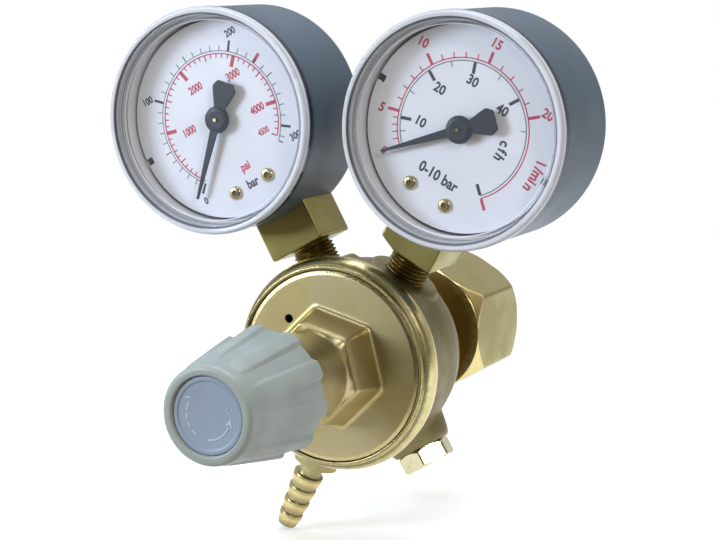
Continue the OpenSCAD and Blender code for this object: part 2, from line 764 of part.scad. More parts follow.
module gauge_dial() color("white") difference() {
    translate([0, 0, dial_z]) cylinder(d = dial_d, h = dial_t);
    translate([0, 0, dial_z - cut]) cylinder(r = dial_hole_r, h = dial_t + 2 * cut);
    for (side = [-1, 1]) {
        translate([side * post_x, post_y, dial_z - cut]) cylinder(d = dial_screw_d, h = dial_t + 2 * cut);
        translate([side * dial_d / 2, 0, dial_z + dial_t / 2]) cube([2 * dial_notch, dial_notch, 2], center = true);
    }
}

module gauge_dial_screws() color("gold") for (side = [-1, 1]) translate([side * post_x, post_y, 0]) difference() {
    union() {
        translate([0, 0, dial_z + dial_t]) cylinder(d = dial_head_d, h = dial_head_t - 0.3);
        translate([0, 0, dial_z + dial_t + dial_head_t - 0.3])
            cylinder(d1 = dial_head_d, d2 = dial_head_d - 0.8, h = 0.3);
        translate([0, 0, dial_z - dial_screw_len]) cylinder(d = dial_screw_d, h = dial_screw_len + dial_t + corner);
    }
    translate([-dial_head_d, -0.3, dial_z + dial_t + dial_head_t / 2]) cube([2 * dial_head_d, 0.6, dial_head_t]);
}

// Flattened outline of the Bourdon tube, drawn at its own radius and depth
module tube_section(shrink = 0) translate([tube_r, stem_z]) union() {
    radius = tube_t / 2 - shrink;
    square([2 * radius, tube_w - tube_t], center = true);
    for (side = [-1, 1]) translate([0, side * (tube_w - tube_t) / 2]) circle(r = radius);
}

module tube_sweep(from, to, shrink = 0)
    rotate([0, 0, from]) rotate_extrude(angle = to - from) tube_section(shrink);

module gauge_bourdon_tube() color("goldenrod") difference() {
    tube_sweep(tube_end, tube_start);
    tube_sweep(tube_end - 1, tube_start + 1, tube_wall);
}

module gauge_tube_tip() color("gold") union() {
    rotate([0, 0, tube_end - tip_sweep]) rotate_extrude(angle = tip_sweep)
        translate([tube_r - tube_t / 2 - tip_wall, stem_z - tube_w / 2 - tip_wall])
            square([tube_t + 2 * tip_wall, tube_w + 2 * tip_wall]);
    translate([tip_pin[0], tip_pin[1], stem_z]) cylinder(d = pin_d, h = link_z + link_t + corner - stem_z);
}

module gauge_socket(cut_corner = false) color("darkkhaki") difference() {
    block_y = stem_block_reach - gauge_reach;
    stem_y = stem_end_r - gauge_reach;
    union() {
        difference() {
            translate([-stem_block_w / 2, block_y, stem_z - stem_block_w / 2])
                cube([stem_block_w, column_foot_y - block_y, stem_block_w]);
            if (cut_corner) translate([-stem_block_w / 2, block_y, stem_z - stem_block_w])
                linear_extrude(2 * stem_block_w) polygon([
                    [0, shoulder_h], [-cut, shoulder_h], [-cut, -cut], [shoulder_w, -cut], [shoulder_w, 0]
                ]);
        }
        translate([-column_w / 2, column_foot_y - cut, socket_back_z])
            cube([column_w, column_top_y - column_foot_y + cut, socket_face_z - socket_back_z]);
        translate([0, stem_y, stem_z]) rotate([-90, 0, 0]) cylinder(d = stem_thread_d, h = block_y - stem_y + cut);
        for (side = [-1, 1]) translate([side * post_x, post_y, socket_face_z - corner])
            cylinder(d = post_d, h = dial_z - socket_face_z + corner);
    }
    translate([0, stem_y - cut, stem_z]) rotate([-90, 0, 0])
        cylinder(d = stem_bore_d, h = cut - stem_y - tube_r + stem_bore_d);
    translate([0, -tube_r, stem_z]) rotate([0, -90, 0]) cylinder(d = tube_way_d, h = tube_r / 4);
    tube_sweep(tube_start - tube_socket_turn, tube_start);
    for (side = [-1, 1]) {
        translate([side * post_x, post_y, dial_z - dial_screw_len]) cylinder(d = dial_screw_d, h = dial_screw_len + cut);
        translate([side * frame_screw_x, frame_screw_y, socket_face_z - frame_screw_len])
            cylinder(d = frame_screw_d, h = frame_screw_len + cut);
    }
}

module gauge_stem_washer(angle) color("peru") difference() {
    spoke(angle, port_y, stem_thread_d, port_floor_r, stem_end_r);
    spoke(angle, port_y, stem_bore_d, port_floor_r - cut, stem_end_r + cut);
}

// Flat bar of width w with round ends from p to q
module bar(p, q, w) {
    reach = norm(q - p);
    for (end = [p, q]) translate(end) circle(d = w);
    translate(p) rotate(atan2(q[1] - p[1], q[0] - p[0])) translate([0, -w / 2]) square([reach, w]);
}

module frame_plate(z, tab) translate([0, 0, z]) linear_extrude(plate_gauge) difference() {
    union() {
        bar(pillar_a, [0, 0], frame_w);
        bar([0, 0], pillar_b, frame_w);
        bar(pillar_a, pivot, frame_w);
        if (tab) translate([-tab_w / 2, frame_screw_y - frame_w / 4]) square([tab_w, pivot[1] - frame_screw_y]);
    }
    circle(d = arbor_d + 2 * running_fit);
    translate(pivot) circle(d = pin_d + 2 * running_fit);
    if (tab) for (side = [-1, 1]) translate([side * frame_screw_x, frame_screw_y]) circle(d = frame_screw_d);
}

module gauge_movement_frame() color("gold") union() {
    frame_plate(back_plate_z, true);
    frame_plate(front_plate_z, false);
    for (p = [pillar_a, pillar_b]) translate([p[0], p[1], back_plate_z + plate_gauge / 2])
        cylinder(d = pillar_d, h = front_plate_z - back_plate_z);
    rotate([0, 0, stud_angle]) translate([stud_r, 0, back_plate_z + plate_gauge / 2])
        cylinder(d = stud_d, h = spring_z + spring_w - back_plate_z - plate_gauge / 2);
}

module gauge_frame_screws() color("silver") for (side = [-1, 1]) translate([side * frame_screw_x, frame_screw_y, 0]) {
    translate([0, 0, back_plate_z + plate_gauge]) cylinder(d = frame_head_d, h = frame_head_t);
    translate([0, 0, socket_face_z - frame_screw_len])
        cylinder(d = frame_screw_d, h = frame_screw_len + plate_gauge + frame_head_t / 2);
}

// Involute function in degrees
function involute(a) = tan(a) * 180 / PI - a;

// Outline of the tooth centred on angle c, from its root on one side over the tip to the other
function tooth(teeth, c) =
    let (
        pitch_r = gear_module * teeth / 2,
        base_r = pitch_r * cos(pressure_angle),
        root_r = pitch_r - gear_module * tooth_root,
        tip_r = pitch_r + gear_module * tooth_tip,
        start_r = max(base_r, root_r),
        half = (PI * gear_module / 2 - tooth_thin) / 2 / pitch_r * 180 / PI + involute(pressure_angle),
        flank = [for (i = [0:flank_steps]) let (r = start_r + (tip_r - start_r) * i / flank_steps)
            [r, half - involute(acos(min(1, base_r / r)))]],
        side = root_r < base_r ? concat([[root_r, half]], flank) : flank
    )
    concat(
        [for (p = side) p[0] * [cos(c - p[1]), sin(c - p[1])]],
        [for (i = [len(side) - 1:-1:0]) side[i][0] * [cos(c + side[i][1]), sin(c + side[i][1])]]
    );

module gauge_pinion() color("gold") union() {
    translate([0, 0, back_plate_z + running_fit])
        cylinder(d = arbor_d, h = pointer_z + pointer_t + 2 * corner - back_plate_z - running_fit);
    translate([0, 0, sector_z + sector_t / 2 - pinion_w / 2]) linear_extrude(pinion_w)
        polygon([for (i = [0:pinion_teeth - 1]) each tooth(pinion_teeth, mesh_angle + (i + 0.5) * 360 / pinion_teeth)]);
    translate([0, 0, spring_z]) cylinder(r = collet_r, h = spring_w);
}

module gauge_sector_gear() color("gold") translate([pivot[0], pivot[1], 0]) {
    pitch = 360 / sector_teeth;
    spare = 2;
    first = -ceil(sector_swing / pitch) - spare;
    mesh = mesh_angle + 180;
    low = mesh + (first - 0.5) * pitch + arm_turn;
    high = mesh + (spare + 0.5) * pitch - arm_turn;
    middle = (low + high) / 2;
    translate([0, 0, sector_z]) linear_extrude(sector_t) union() {
        difference() {
            polygon(concat([[0, 0]], [for (i = [first:spare]) each tooth(sector_teeth, mesh + i * pitch)]));
            intersection() {
                circle(r = sector_r - sector_ring);
                polygon([
                    2 * sector_r * [cos(low), sin(low)], 2 * sector_r * [cos(high), sin(high)],
                    sector_hub_r / 2 * [cos(middle), sin(middle)]
                ]);
            }
        }
        circle(r = sector_hub_r);
        bar([0, 0], tail_hole - pivot, tail_w);
    }
    translate([0, 0, back_plate_z + running_fit]) cylinder(d = pin_d, h = front_plate_z + plate_gauge - back_plate_z);
    translate([tail_hole[0] - pivot[0], tail_hole[1] - pivot[1], link_z - corner])
        cylinder(d = pin_d, h = sector_z - link_z + 2 * corner);
}

module gauge_link() color("silver") translate([0, 0, link_z]) linear_extrude(link_t) difference() {
    union() {
        bar(tail_hole, tip_pin, tail_w);
        translate(tip_pin) circle(r = tail_w / 2 + link_play);
    }
    translate(tail_hole) circle(d = pin_d + 2 * running_fit);
    translate(tip_pin) circle(r = pin_d / 2 + link_play);
}

module gauge_hairspring() color("silver") {
    rings = spring_turns * spring_steps;
    inner = collet_r + running_fit;
    outer = stud_r - stud_d / 2 - spring_strip;
    points = [for (i = [0:rings], k = [0:3])
        let (r = inner + (outer - inner) * i / rings + (k == 1 || k == 2 ? spring_strip : 0),
             a = stud_angle + (i - rings) * 360 / spring_steps)
        [r * cos(a), r * sin(a), spring_z + (k > 1 ? spring_w : 0)]];
    polyhedron(points, concat(
        [[0, 1, 2, 3]],
        [for (i = [0:rings - 1], k = [0:3]) [i * 4 + k, (i + 1) * 4 + k, (i + 1) * 4 + (k + 1) % 4, i * 4 + (k + 1) % 4]],
        [[for (k = [3:-1:0]) rings * 4 + k]]
    ));
}

module gauge_pointer() color("midnightblue") rotate([0, 0, 90 - dial_zero]) difference() {
    union() {
        translate([0, 0, pointer_z]) linear_extrude(pointer_t) polygon(concat(
            [[pointer_len, pointer_point], [0, pointer_root]],
            arc(fan_round - fan_reach, fan_half - fan_round, fan_round, 90, 180, 4),
            arc(fan_round - fan_reach, fan_round - fan_half, fan_round, 180, 270, 4),
            [[0, -pointer_root], [pointer_len, -pointer_point]]
        ));
        translate([0, 0, pointer_z - corner / 2]) cylinder(r = pointer_hub_r, h = pointer_t + 1.5 * corner);
    }
    translate([0, 0, pointer_z - cut]) cylinder(d = arbor_d, h = pointer_t + 3 * cut);
}

module contents_case() on_gauge(-gauge_angle) gauge_case();
module contents_window() on_gauge(-gauge_angle) gauge_window();
module contents_dial() on_gauge(-gauge_angle) gauge_dial();
module contents_dial_screws() on_gauge(-gauge_angle) gauge_dial_screws();
module contents_socket() on_gauge(-gauge_angle) gauge_socket();
module contents_stem_washer() gauge_stem_washer(-gauge_angle);
module contents_bourdon_tube() on_gauge(-gauge_angle) gauge_bourdon_tube();
module contents_tube_tip() on_gauge(-gauge_angle) gauge_tube_tip();
module contents_movement_frame() on_gauge(-gauge_angle) gauge_movement_frame();
module contents_frame_screws() on_gauge(-gauge_angle) gauge_frame_screws();
module contents_sector_gear() on_gauge(-gauge_angle) gauge_sector_gear();
module contents_link() on_gauge(-gauge_angle) gauge_link();
module contents_pinion() on_gauge(-gauge_angle) gauge_pinion();
module contents_hairspring() on_gauge(-gauge_angle) gauge_hairspring();
module contents_pointer() on_gauge(-gauge_angle) gauge_pointer();
module flow_case() on_gauge(gauge_angle) gauge_case();
module flow_window() on_gauge(gauge_angle) gauge_window();
module flow_dial() on_gauge(gauge_angle) gauge_dial();
module flow_dial_screws() on_gauge(gauge_angle) gauge_dial_screws();
module flow_socket() on_gauge(gauge_angle) gauge_socket(true);
module flow_stem_washer() gauge_stem_washer(gauge_angle);
module flow_bourdon_tube() on_gauge(gauge_angle) gauge_bourdon_tube();
module flow_tube_tip() on_gauge(gauge_angle) gauge_tube_tip();
module flow_movement_frame() on_gauge(gauge_angle) gauge_movement_frame();
module flow_frame_screws() on_gauge(gauge_angle) gauge_frame_screws();
module flow_sector_gear() on_gauge(gauge_angle) gauge_sector_gear();
module flow_link() on_gauge(gauge_angle) gauge_link();
module flow_pinion() on_gauge(gauge_angle) gauge_pinion();
module flow_hairspring() on_gauge(gauge_angle) gauge_hairspring();
module flow_pointer() on_gauge(gauge_angle) gauge_pointer();

body_forging();
bonnet();
nozzle();
inlet_nipple();
nipple_gasket();
inlet_filter();
inlet_seal();
inlet_nut();
slip_ring();
diaphragm();
diaphragm_plate();
pusher_disc();
valve_poppet();
poppet_seat();
closing_spring();
range_spring();
spring_button();
adjusting_screw();
adjusting_knob();
knob_screw();
knob_cap();
flow_orifice();
hose_tail();
relief_housing();
relief_poppet();
relief_spring();
contents_case();
contents_window();
contents_dial();
contents_dial_screws();
contents_socket();
contents_stem_washer();
contents_bourdon_tube();
contents_tube_tip();
contents_movement_frame();
contents_frame_screws();
contents_sector_gear();
contents_link();
contents_pinion();
contents_hairspring();
contents_pointer();
flow_case();
flow_window();
flow_dial();
flow_dial_screws();
flow_socket();
flow_stem_washer();
flow_bourdon_tube();
flow_tube_tip();
flow_movement_frame();
flow_frame_screws();
flow_sector_gear();
flow_link();
flow_pinion();
flow_hairspring();
flow_pointer();
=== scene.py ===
"""Looks of a two-gauge gas regulator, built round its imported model.

The classes hold their sizes in millimetres and repeat the part's own stations: y runs along the main
axis, zero at the inlet's sealing face and negative towards the knob. Points become metres only when a
mesh is made. Every surface is worked out with numpy, as rows of points or as an outline with a thickness.
"""

from __future__ import annotations

import json
import logging
import math
from collections.abc import Sequence
from dataclasses import dataclass, field, replace
from enum import Enum
from typing import NamedTuple

import bpy
import numpy as np
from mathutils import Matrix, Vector

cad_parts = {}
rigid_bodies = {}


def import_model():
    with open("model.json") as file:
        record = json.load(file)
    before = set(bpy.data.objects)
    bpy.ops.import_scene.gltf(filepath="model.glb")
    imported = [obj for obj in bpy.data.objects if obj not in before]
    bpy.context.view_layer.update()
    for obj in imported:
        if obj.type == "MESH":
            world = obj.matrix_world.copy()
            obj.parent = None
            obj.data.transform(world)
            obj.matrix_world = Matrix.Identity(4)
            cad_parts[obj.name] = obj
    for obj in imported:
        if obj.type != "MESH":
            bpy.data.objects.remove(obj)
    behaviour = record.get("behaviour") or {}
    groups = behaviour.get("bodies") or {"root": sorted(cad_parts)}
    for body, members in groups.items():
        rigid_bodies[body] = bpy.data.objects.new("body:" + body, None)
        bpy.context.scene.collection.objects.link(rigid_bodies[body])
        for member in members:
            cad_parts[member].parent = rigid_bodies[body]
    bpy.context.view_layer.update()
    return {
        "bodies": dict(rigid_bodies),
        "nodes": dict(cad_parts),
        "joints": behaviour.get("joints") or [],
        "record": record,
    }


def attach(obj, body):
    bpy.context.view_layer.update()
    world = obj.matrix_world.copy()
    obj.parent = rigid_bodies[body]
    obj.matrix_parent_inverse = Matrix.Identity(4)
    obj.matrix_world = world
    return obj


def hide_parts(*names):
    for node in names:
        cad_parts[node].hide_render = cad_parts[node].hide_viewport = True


LOG = logging.getLogger("regulator")
MM = 0.001
Array = np.ndarray
Pair = tuple[float, float]
Triple = tuple[float, float, float]
Grids = tuple[Array, Array]


# Surfaces


@dataclass(frozen=True)
class Placement:
    """A local frame in the row frame, in millimetres."""

    origin: Triple
    x_axis: Triple
    y_axis: Triple
    z_axis: Triple

    def place(self, points: Array) -> Array:
        """Returns the origin plus each coordinate times its axis."""
        return np.array(self.origin) + points @ np.array([self.x_axis, self.y_axis, self.z_axis])

    @classmethod
    def along_axis(cls, origin: Triple = (0, 0, 0)) -> Placement:
        """Frame of the main axis, or of a line beside it: local z is the station y."""
        return cls(origin, (1, 0, 0), (0, 0, -1), (0, 1, 0))

    @classmethod
    def on_radius(cls, lean: float, station: float) -> Placement:
        """Frame of a port.

        Args:
            lean: angle of the port from upright towards +X, in degrees.
            station: where the port's axis crosses the main axis.

        Returns:
            A frame whose z runs out along the port.
        """
        s, c = math.sin(math.radians(lean)), math.cos(math.radians(lean))
        return cls((0, station, 0), (c, 0, -s), (0, 1, 0), (s, 0, c))

    @classmethod
    def facing(cls, lean: float, reach: float, front: float) -> Placement:
        """Frame of what faces the reader.

        Args:
            lean: angle of its upright from +Z towards +X, in degrees.
            reach: distance of its middle from the main axis.
            front: station of its middle.

        Returns:
            A frame with x to the right, y along its upright and z towards the reader.
        """
        s, c = math.sin(math.radians(lean)), math.cos(math.radians(lean))
        return cls((reach * s, front, reach * c), (c, 0, -s), (s, 0, c), (0, -1, 0))

    @classmethod
    def spun(cls, turn: float, origin: Triple = (0, 0, 0), depth: float = 1.0) -> Placement:
        """Frame turned against the clock by some degrees about z, with z made depth times as long."""
        s, c = math.sin(math.radians(turn)), math.cos(math.radians(turn))
        return cls(origin, (c, s, 0), (-s, c, 0), (0, 0, depth))


@dataclass
class Shell:
    """A skin of points and faces, with named values at its points."""

    points: Array
    quads: Array
    caps: list[Array] = field(default_factory=list)
    values: dict[str, Array] = field(default_factory=dict)

    def placed(self, placement: Placement) -> Shell:
        """Returns the shell carried out of a placement's frame."""
        return replace(self, points=placement.place(self.points))

    def volume(self) -> float:
        """Measures the shell.

        Returns:
            The signed volume: the sum over its triangles of a . (b x c) / 6.
        """
        a, b, c, d = np.moveaxis(self.points[self.quads], 1, 0)
        total = np.sum(a * (np.cross(b, c) + np.cross(c, d)))
        for cap in self.caps:
            ring = self.points[cap]
            total += np.sum(ring[0] * np.cross(ring[1:-1], ring[2:]))
        return float(total) / 6

    def outward(self) -> Shell:
        """Turns the faces outwards.

        Returns:
            This shell, or one with every face turned round if its volume is negative.
        """
        if self.volume() >= 0:
            return self
        return replace(self, quads=self.quads[:, ::-1], caps=[cap[::-1] for cap in self.caps])


def merged(shells: Sequence[Shell]) -> Shell:
    """Puts closed shells together.

    Args:
        shells: the shells, each of which is turned outwards first.

    Returns:
        One shell, whose named values are zero on the points of a shell that lacks them.
    """
    shells = [shell.outward() for shell in shells]
    starts = np.cumsum([0] + [len(shell.points) for shell in shells[:-1]])
    names = sorted({name for shell in shells for name in shell.values})
    return Shell(
        np.concatenate([shell.points for shell in shells]),
        np.concatenate([shell.quads + start for shell, start in zip(shells, starts)]),
        [cap + start for shell, start in zip(shells, starts) for cap in shell.caps],
        {
            name: np.concatenate([shell.values.get(name, np.zeros(len(shell.points))) for shell in shells])
            for name in names
        },
    )


def skin(rows: Array, ring: bool = False, **values: Array) -> Shell:
    """Covers rows of points that each close on themselves.

    Args:
        rows: points as an array of rows by columns by three.
        ring: whether the last row joins the first, or both ends get a flat cap.
        values: named numbers for each point, as arrays of rows by columns or rows by one.

    Returns:
        A closed shell with one quad between neighbours in both directions.
    """
    count, columns = rows.shape[:2]
    index = np.arange(count * columns).reshape(count, columns)
    lower = index if ring else index[:-1]
    upper = np.roll(index, -1, 0) if ring else index[1:]
    quads = np.stack([lower, np.roll(lower, -1, 1), np.roll(upper, -1, 1), upper], -1).reshape(-1, 4)
    caps = [] if ring else [index[0][::-1], index[-1]]
    spread = {name: np.broadcast_to(v, (count, columns)).ravel() for name, v in values.items()}
    return Shell(rows.reshape(-1, 3), quads, caps, spread)


def polar(radii: Array, heights: Array, angles: Array) -> Array:
    """Returns points x = r cos a, y = r sin a, z = h for arrays that broadcast together."""
    radii, heights, angles = np.broadcast_arrays(radii, heights, angles)
    return np.stack([radii * np.cos(angles), radii * np.sin(angles), heights], -1)


def turn_angles(columns: int) -> Array:
    """Returns equal angles round a full turn, as one row."""
    return np.linspace(0, 2 * math.pi, columns, endpoint=False)[None, :]


def turned(profile: Array, columns: int = 96, ring: bool = False, **values: Array) -> Shell:
    """Turns a profile of (radius, height) round its z axis."""
    return skin(polar(profile[:, :1], profile[:, 1:2], turn_angles(columns)), ring, **values)


def turned_solid(profile: Array, core: Sequence[Pair], columns: int, **values: Array) -> Shell:
    """Turns a closed profile that stops just short of its axis, and fills its middle with a thin core."""
    return merged([turned(profile, columns, True, **values), turned(np.array(core), columns)])


def closed_ring(placement: Placement, radii: Array, heights: Array, **values: Array) -> Shell:
    """Returns rows round a placement's z axis, at equal angles, whose last row joins the first."""
    return skin(polar(radii, heights, turn_angles(radii.shape[1])), True, **values).placed(placement)


def stacked(columns: int, *parts: Array | Grids) -> Grids:
    """Lays parts end to end.

    Args:
        columns: points in each row.
        parts: outlines of (radius, height), or radii and heights as two arrays of rows.

    Returns:
        The radii and the heights of all the rows.
    """
    pairs = [(part[:, :1], part[:, 1:]) if isinstance(part, np.ndarray) else part for part in parts]
    spread = [[np.broadcast_to(grid, (len(grid), columns)) for grid in pair] for pair in pairs]
    radii, heights = (np.concatenate(grids) for grids in zip(*spread))
    return radii, heights


def rounded(corners: Sequence[Triple], closed: bool = False, steps: int = 4) -> Array:
    """Draws an outline whose corners are arcs.

    Args:
        corners: (u, v, radius) of each corner, in order.
        closed: whether the outline returns to its start.
        steps: segments in each arc.

    Returns:
        Points, where a corner of radius r starts and ends r / tan(half its angle) away from the corner,
        and runs round a centre r / sin(half its angle) along its bisector.
    """
    places = np.array([corner[:2] for corner in corners], float)
    parts: list[Array] = []
    last = len(corners) - 1
    for i, (_, _, radius) in enumerate(corners):
        if radius <= 0 or (not closed and i in (0, last)):
            parts.append(places[i : i + 1])
            continue
        before = places[i - 1] - places[i]
        after = places[(i + 1) % len(places)] - places[i]
        before, after = before / np.linalg.norm(before), after / np.linalg.norm(after)
        half = math.acos(max(-1.0, min(1.0, float(before @ after)))) / 2
        bisector = (before + after) / np.linalg.norm(before + after)
        centre = places[i] + bisector * radius / math.sin(half)
        start = places[i] + before * radius / math.tan(half) - centre
        end = places[i] + after * radius / math.tan(half) - centre
        sweep = math.pi - 2 * half
        share = np.linspace(0, 1, steps + 1)[:, None]
        arc = (np.sin((1 - share) * sweep) * start + np.sin(share * sweep) * end) / math.sin(sweep)
        parts.append(centre + arc)
    return np.concatenate(parts)


def resampled(profile: Array, step: float) -> Array:
    """Adds points to an open profile.

    Args:
        profile: points of (u, v).
        step: the furthest that two neighbours may lie apart.

    Returns:
        The profile with each stretch cut into equal parts, at even distances along it.
    """
    lengths = np.linalg.norm(np.diff(profile, axis=0), axis=1)
    counts = np.maximum(1, np.ceil(lengths / step).astype(int))
    travelled = np.concatenate([[0], np.cumsum(lengths)])
    stops = [np.linspace(a, b, n, endpoint=False) for a, b, n in zip(travelled[:-1], travelled[1:], counts)]
    at = np.concatenate(stops + [travelled[-1:]])
    return np.stack([np.interp(at, travelled, profile[:, 0]), np.interp(at, travelled, profile[:, 1])], -1)


def plate(outline: Array, low: float, high: float, edge: float = 0.0, steps: int = 3) -> Shell:
    """Gives an outline a thickness, with quarter rounds of radius edge along both faces.

    Each row is the outline moved inwards along its mitred normals by edge (1 - sin t), at a height of
    edge (1 - cos t) from its face. A last row on each face, a little further in, keeps that face flat.

    Args:
        outline: points of (x, y), either way round.
        low: level of its back.
        high: level of its front.
        edge: radius of the quarter rounds.
        steps: segments in each of them.

    Returns:
        A closed shell.
    """
    ahead = np.roll(outline, -1, 0) - outline
    ahead = ahead / np.linalg.norm(ahead, axis=1, keepdims=True)
    normal = np.stack([ahead[:, 1], -ahead[:, 0]], -1)
    behind = np.roll(normal, 1, 0)
    mitre = (normal + behind) / (1 + np.sum(normal * behind, 1, keepdims=True))
    x, y = outline.T
    if np.sum(x * np.roll(y, -1) - np.roll(x, -1) * y) < 0:
        mitre = -mitre
    turn = np.linspace(0, math.pi / 2, steps + 1) if edge > 0 else np.array([math.pi / 2])
    inset, rise = edge * (1 - np.sin(turn)), edge * (1 - np.cos(turn))
    if edge > 0:
        inset, rise = np.concatenate([[1.3 * edge], inset]), np.concatenate([[0], rise])
    insets = np.concatenate([inset, inset[::-1]])
    heights = np.concatenate([low + rise, high - rise[::-1]])
    flat = outline[None] - mitre[None] * insets[:, None, None]
    return skin(np.concatenate([flat, np.broadcast_to(heights[:, None, None], flat.shape[:2] + (1,))], -1))


def soft_min(a: Array, b: Array, blend: float) -> Array:
    """Returns the smaller value, lowered by (blend - |a - b|)^2 / 4 blend where the two are close."""
    close = np.clip(blend - np.abs(a - b), 0, None)
    return np.minimum(a, b) - close * close / (4 * blend)


def ease(low: float, high: float, values: Array) -> Array:
    """Returns 3t^2 - 2t^3 with t from 0 at low to 1 at high."""
    t = np.clip((values - low) / (high - low), 0, 1)
    return t * t * (3 - 2 * t)


def hexagon(angles: Array, width: Array | float, turn: float = 0.0, power: Array | float = 60.0) -> Array:
    """Draws a hexagon.

    Args:
        angles: angles of the points, in radians.
        width: distance across the flats.
        turn: direction of the first flat, in degrees.
        power: the higher, the sharper the corners.

    Returns:
        Radii: half the width over the power mean of the cosines of the angles from the six flats.
    """
    flats = math.radians(turn) + np.arange(6) * math.pi / 3
    facing = np.clip(np.cos(angles[..., None] - flats), 0, None)
    power = np.asarray(power, float)
    return np.asarray(width) / 2 / np.sum(facing ** power[..., None], -1) ** (1 / power)


def hexagon_bar(
    columns: int, width: float, ends: Pair, rows: Triple, turn: float = 0.0, slope: float = 1.6
) -> Grids:
    """Draws a hexagon bar whose ends are turned to a cone.

    Args:
        columns: points in each row.
        width: distance across the flats.
        ends: its lowest and its highest station.
        rows: length of the stretch of close rows at each end, how many those are, and the steps between.
        turn: direction of the first flat, in degrees.
        slope: how far the cone widens in each millimetre from an end.

    Returns:
        Radii, the smaller of the hexagon's and the cone's with a soft edge between the two, and heights.
    """
    (low, high), (edge, fine, coarse) = ends, rows
    near, middle = np.linspace(low, low + edge, fine), np.linspace(low + edge, high - edge, coarse + 1)
    heights = np.concatenate([near, middle[1:-1], np.linspace(high - edge, high, fine)])[:, None]
    cone = width / 2 + 0.1 + np.minimum(heights - low, high - heights) * slope
    return soft_min(hexagon(turn_angles(columns), width, turn), cone, 0.12), heights


def screw(columns: int, ends: Pair, rows: int, crest: float, depth: float, pitch: float) -> Grids:
    """Draws a screw thread.

    Args:
        columns: points in each row.
        ends: its first and its last station.
        rows: how many rows lie between them.
        crest: radius of its crests.
        depth: depth of its roots below them.
        pitch: how far it climbs in a turn.

    Returns:
        Radii, crest less depth times a clipped triangle wave that climbs one pitch a turn, and heights.
    """
    heights = np.linspace(*ends, rows)[:, None]
    phase = (heights / pitch - turn_angles(columns) / (2 * math.pi)) % 1.0
    return crest - depth * np.clip(1.25 * np.abs(2 * phase - 1) - 0.125, 0, 1), heights


# Shader building


class Slot(str, Enum):
    """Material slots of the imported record."""

    CAST_BRASS = "cast_brass"
    TURNED_BRASS = "turned_brass"
    NUT_BRASS = "nut_brass"
    SPRING_STEEL = "spring_steel"
    PLATED_STEEL = "plated_steel"
    ALUMINIUM = "diaphragm_aluminium"
    RUBBER = "diaphragm_rubber"
    NYLON = "seal_nylon"
    FIBRE = "gasket_fibre"
    BRONZE = "sintered_bronze"
    COPPER = "copper"
    TUBE_BRONZE = "bourdon_bronze"
    KNOB = "knob_plastic"
    CAP = "cap_plastic"
    CASE = "case_steel"
    WINDOW = "window_clear"
    DIAL = "dial_white"
    POINTER = "pointer_black"


def linear(tint: str) -> tuple[float, float, float, float]:
    """Reads a colour.

    Args:
        tint: red, green and blue as written for a screen, such as "c8b070".

    Returns:
        The colour as linear light, with an alpha of one.
    """
    parts = [int(tint[i : i + 2], 16) / 255 for i in (0, 2, 4)]
    red, green, blue = (c / 12.92 if c <= 0.04045 else ((c + 0.055) / 1.055) ** 2.4 for c in parts)
    return (red, green, blue, 1.0)


class Wire:
    """An output socket that takes part in arithmetic."""

    def __init__(self, recipe: Recipe, socket: bpy.types.NodeSocket) -> None:
        """Keeps the socket and the recipe that it belongs to."""
        self.recipe = recipe
        self.socket = socket

    def _math(self, operation: str, *values: Wire | float) -> Wire:
        """Adds one Math node."""
        return self.recipe.add("ShaderNodeMath", {"operation": operation}, dict(enumerate(values)))

    def __add__(self, other: Wire | float) -> Wire:
        """Adds two values."""
        return self._math("ADD", self, other)

    __radd__ = __add__

    def __mul__(self, other: Wire | float) -> Wire:
        """Multiplies two values."""
        return self._math("MULTIPLY", self, other)

    __rmul__ = __mul__

    def __sub__(self, other: Wire | float) -> Wire:
        """Takes a value from this one."""
        return self._math("SUBTRACT", self, other)

    def __rsub__(self, other: Wire | float) -> Wire:
        """Takes this value from another."""
        return self._math("SUBTRACT", other, self)

    def clipped(self, low: float, high: float) -> Wire:
        """Returns 3t^2 - 2t^3 with t from 0 at low to 1 at high."""
        inputs = {"Value": self, "From Min": low, "From Max": high}
        return self.recipe.add("ShaderNodeMapRange", {"interpolation_type": "SMOOTHSTEP"}, inputs)

    def largest(self, other: Wire | float) -> Wire:
        """Returns the larger of two values."""
        return self._math("MAXIMUM", self, other)


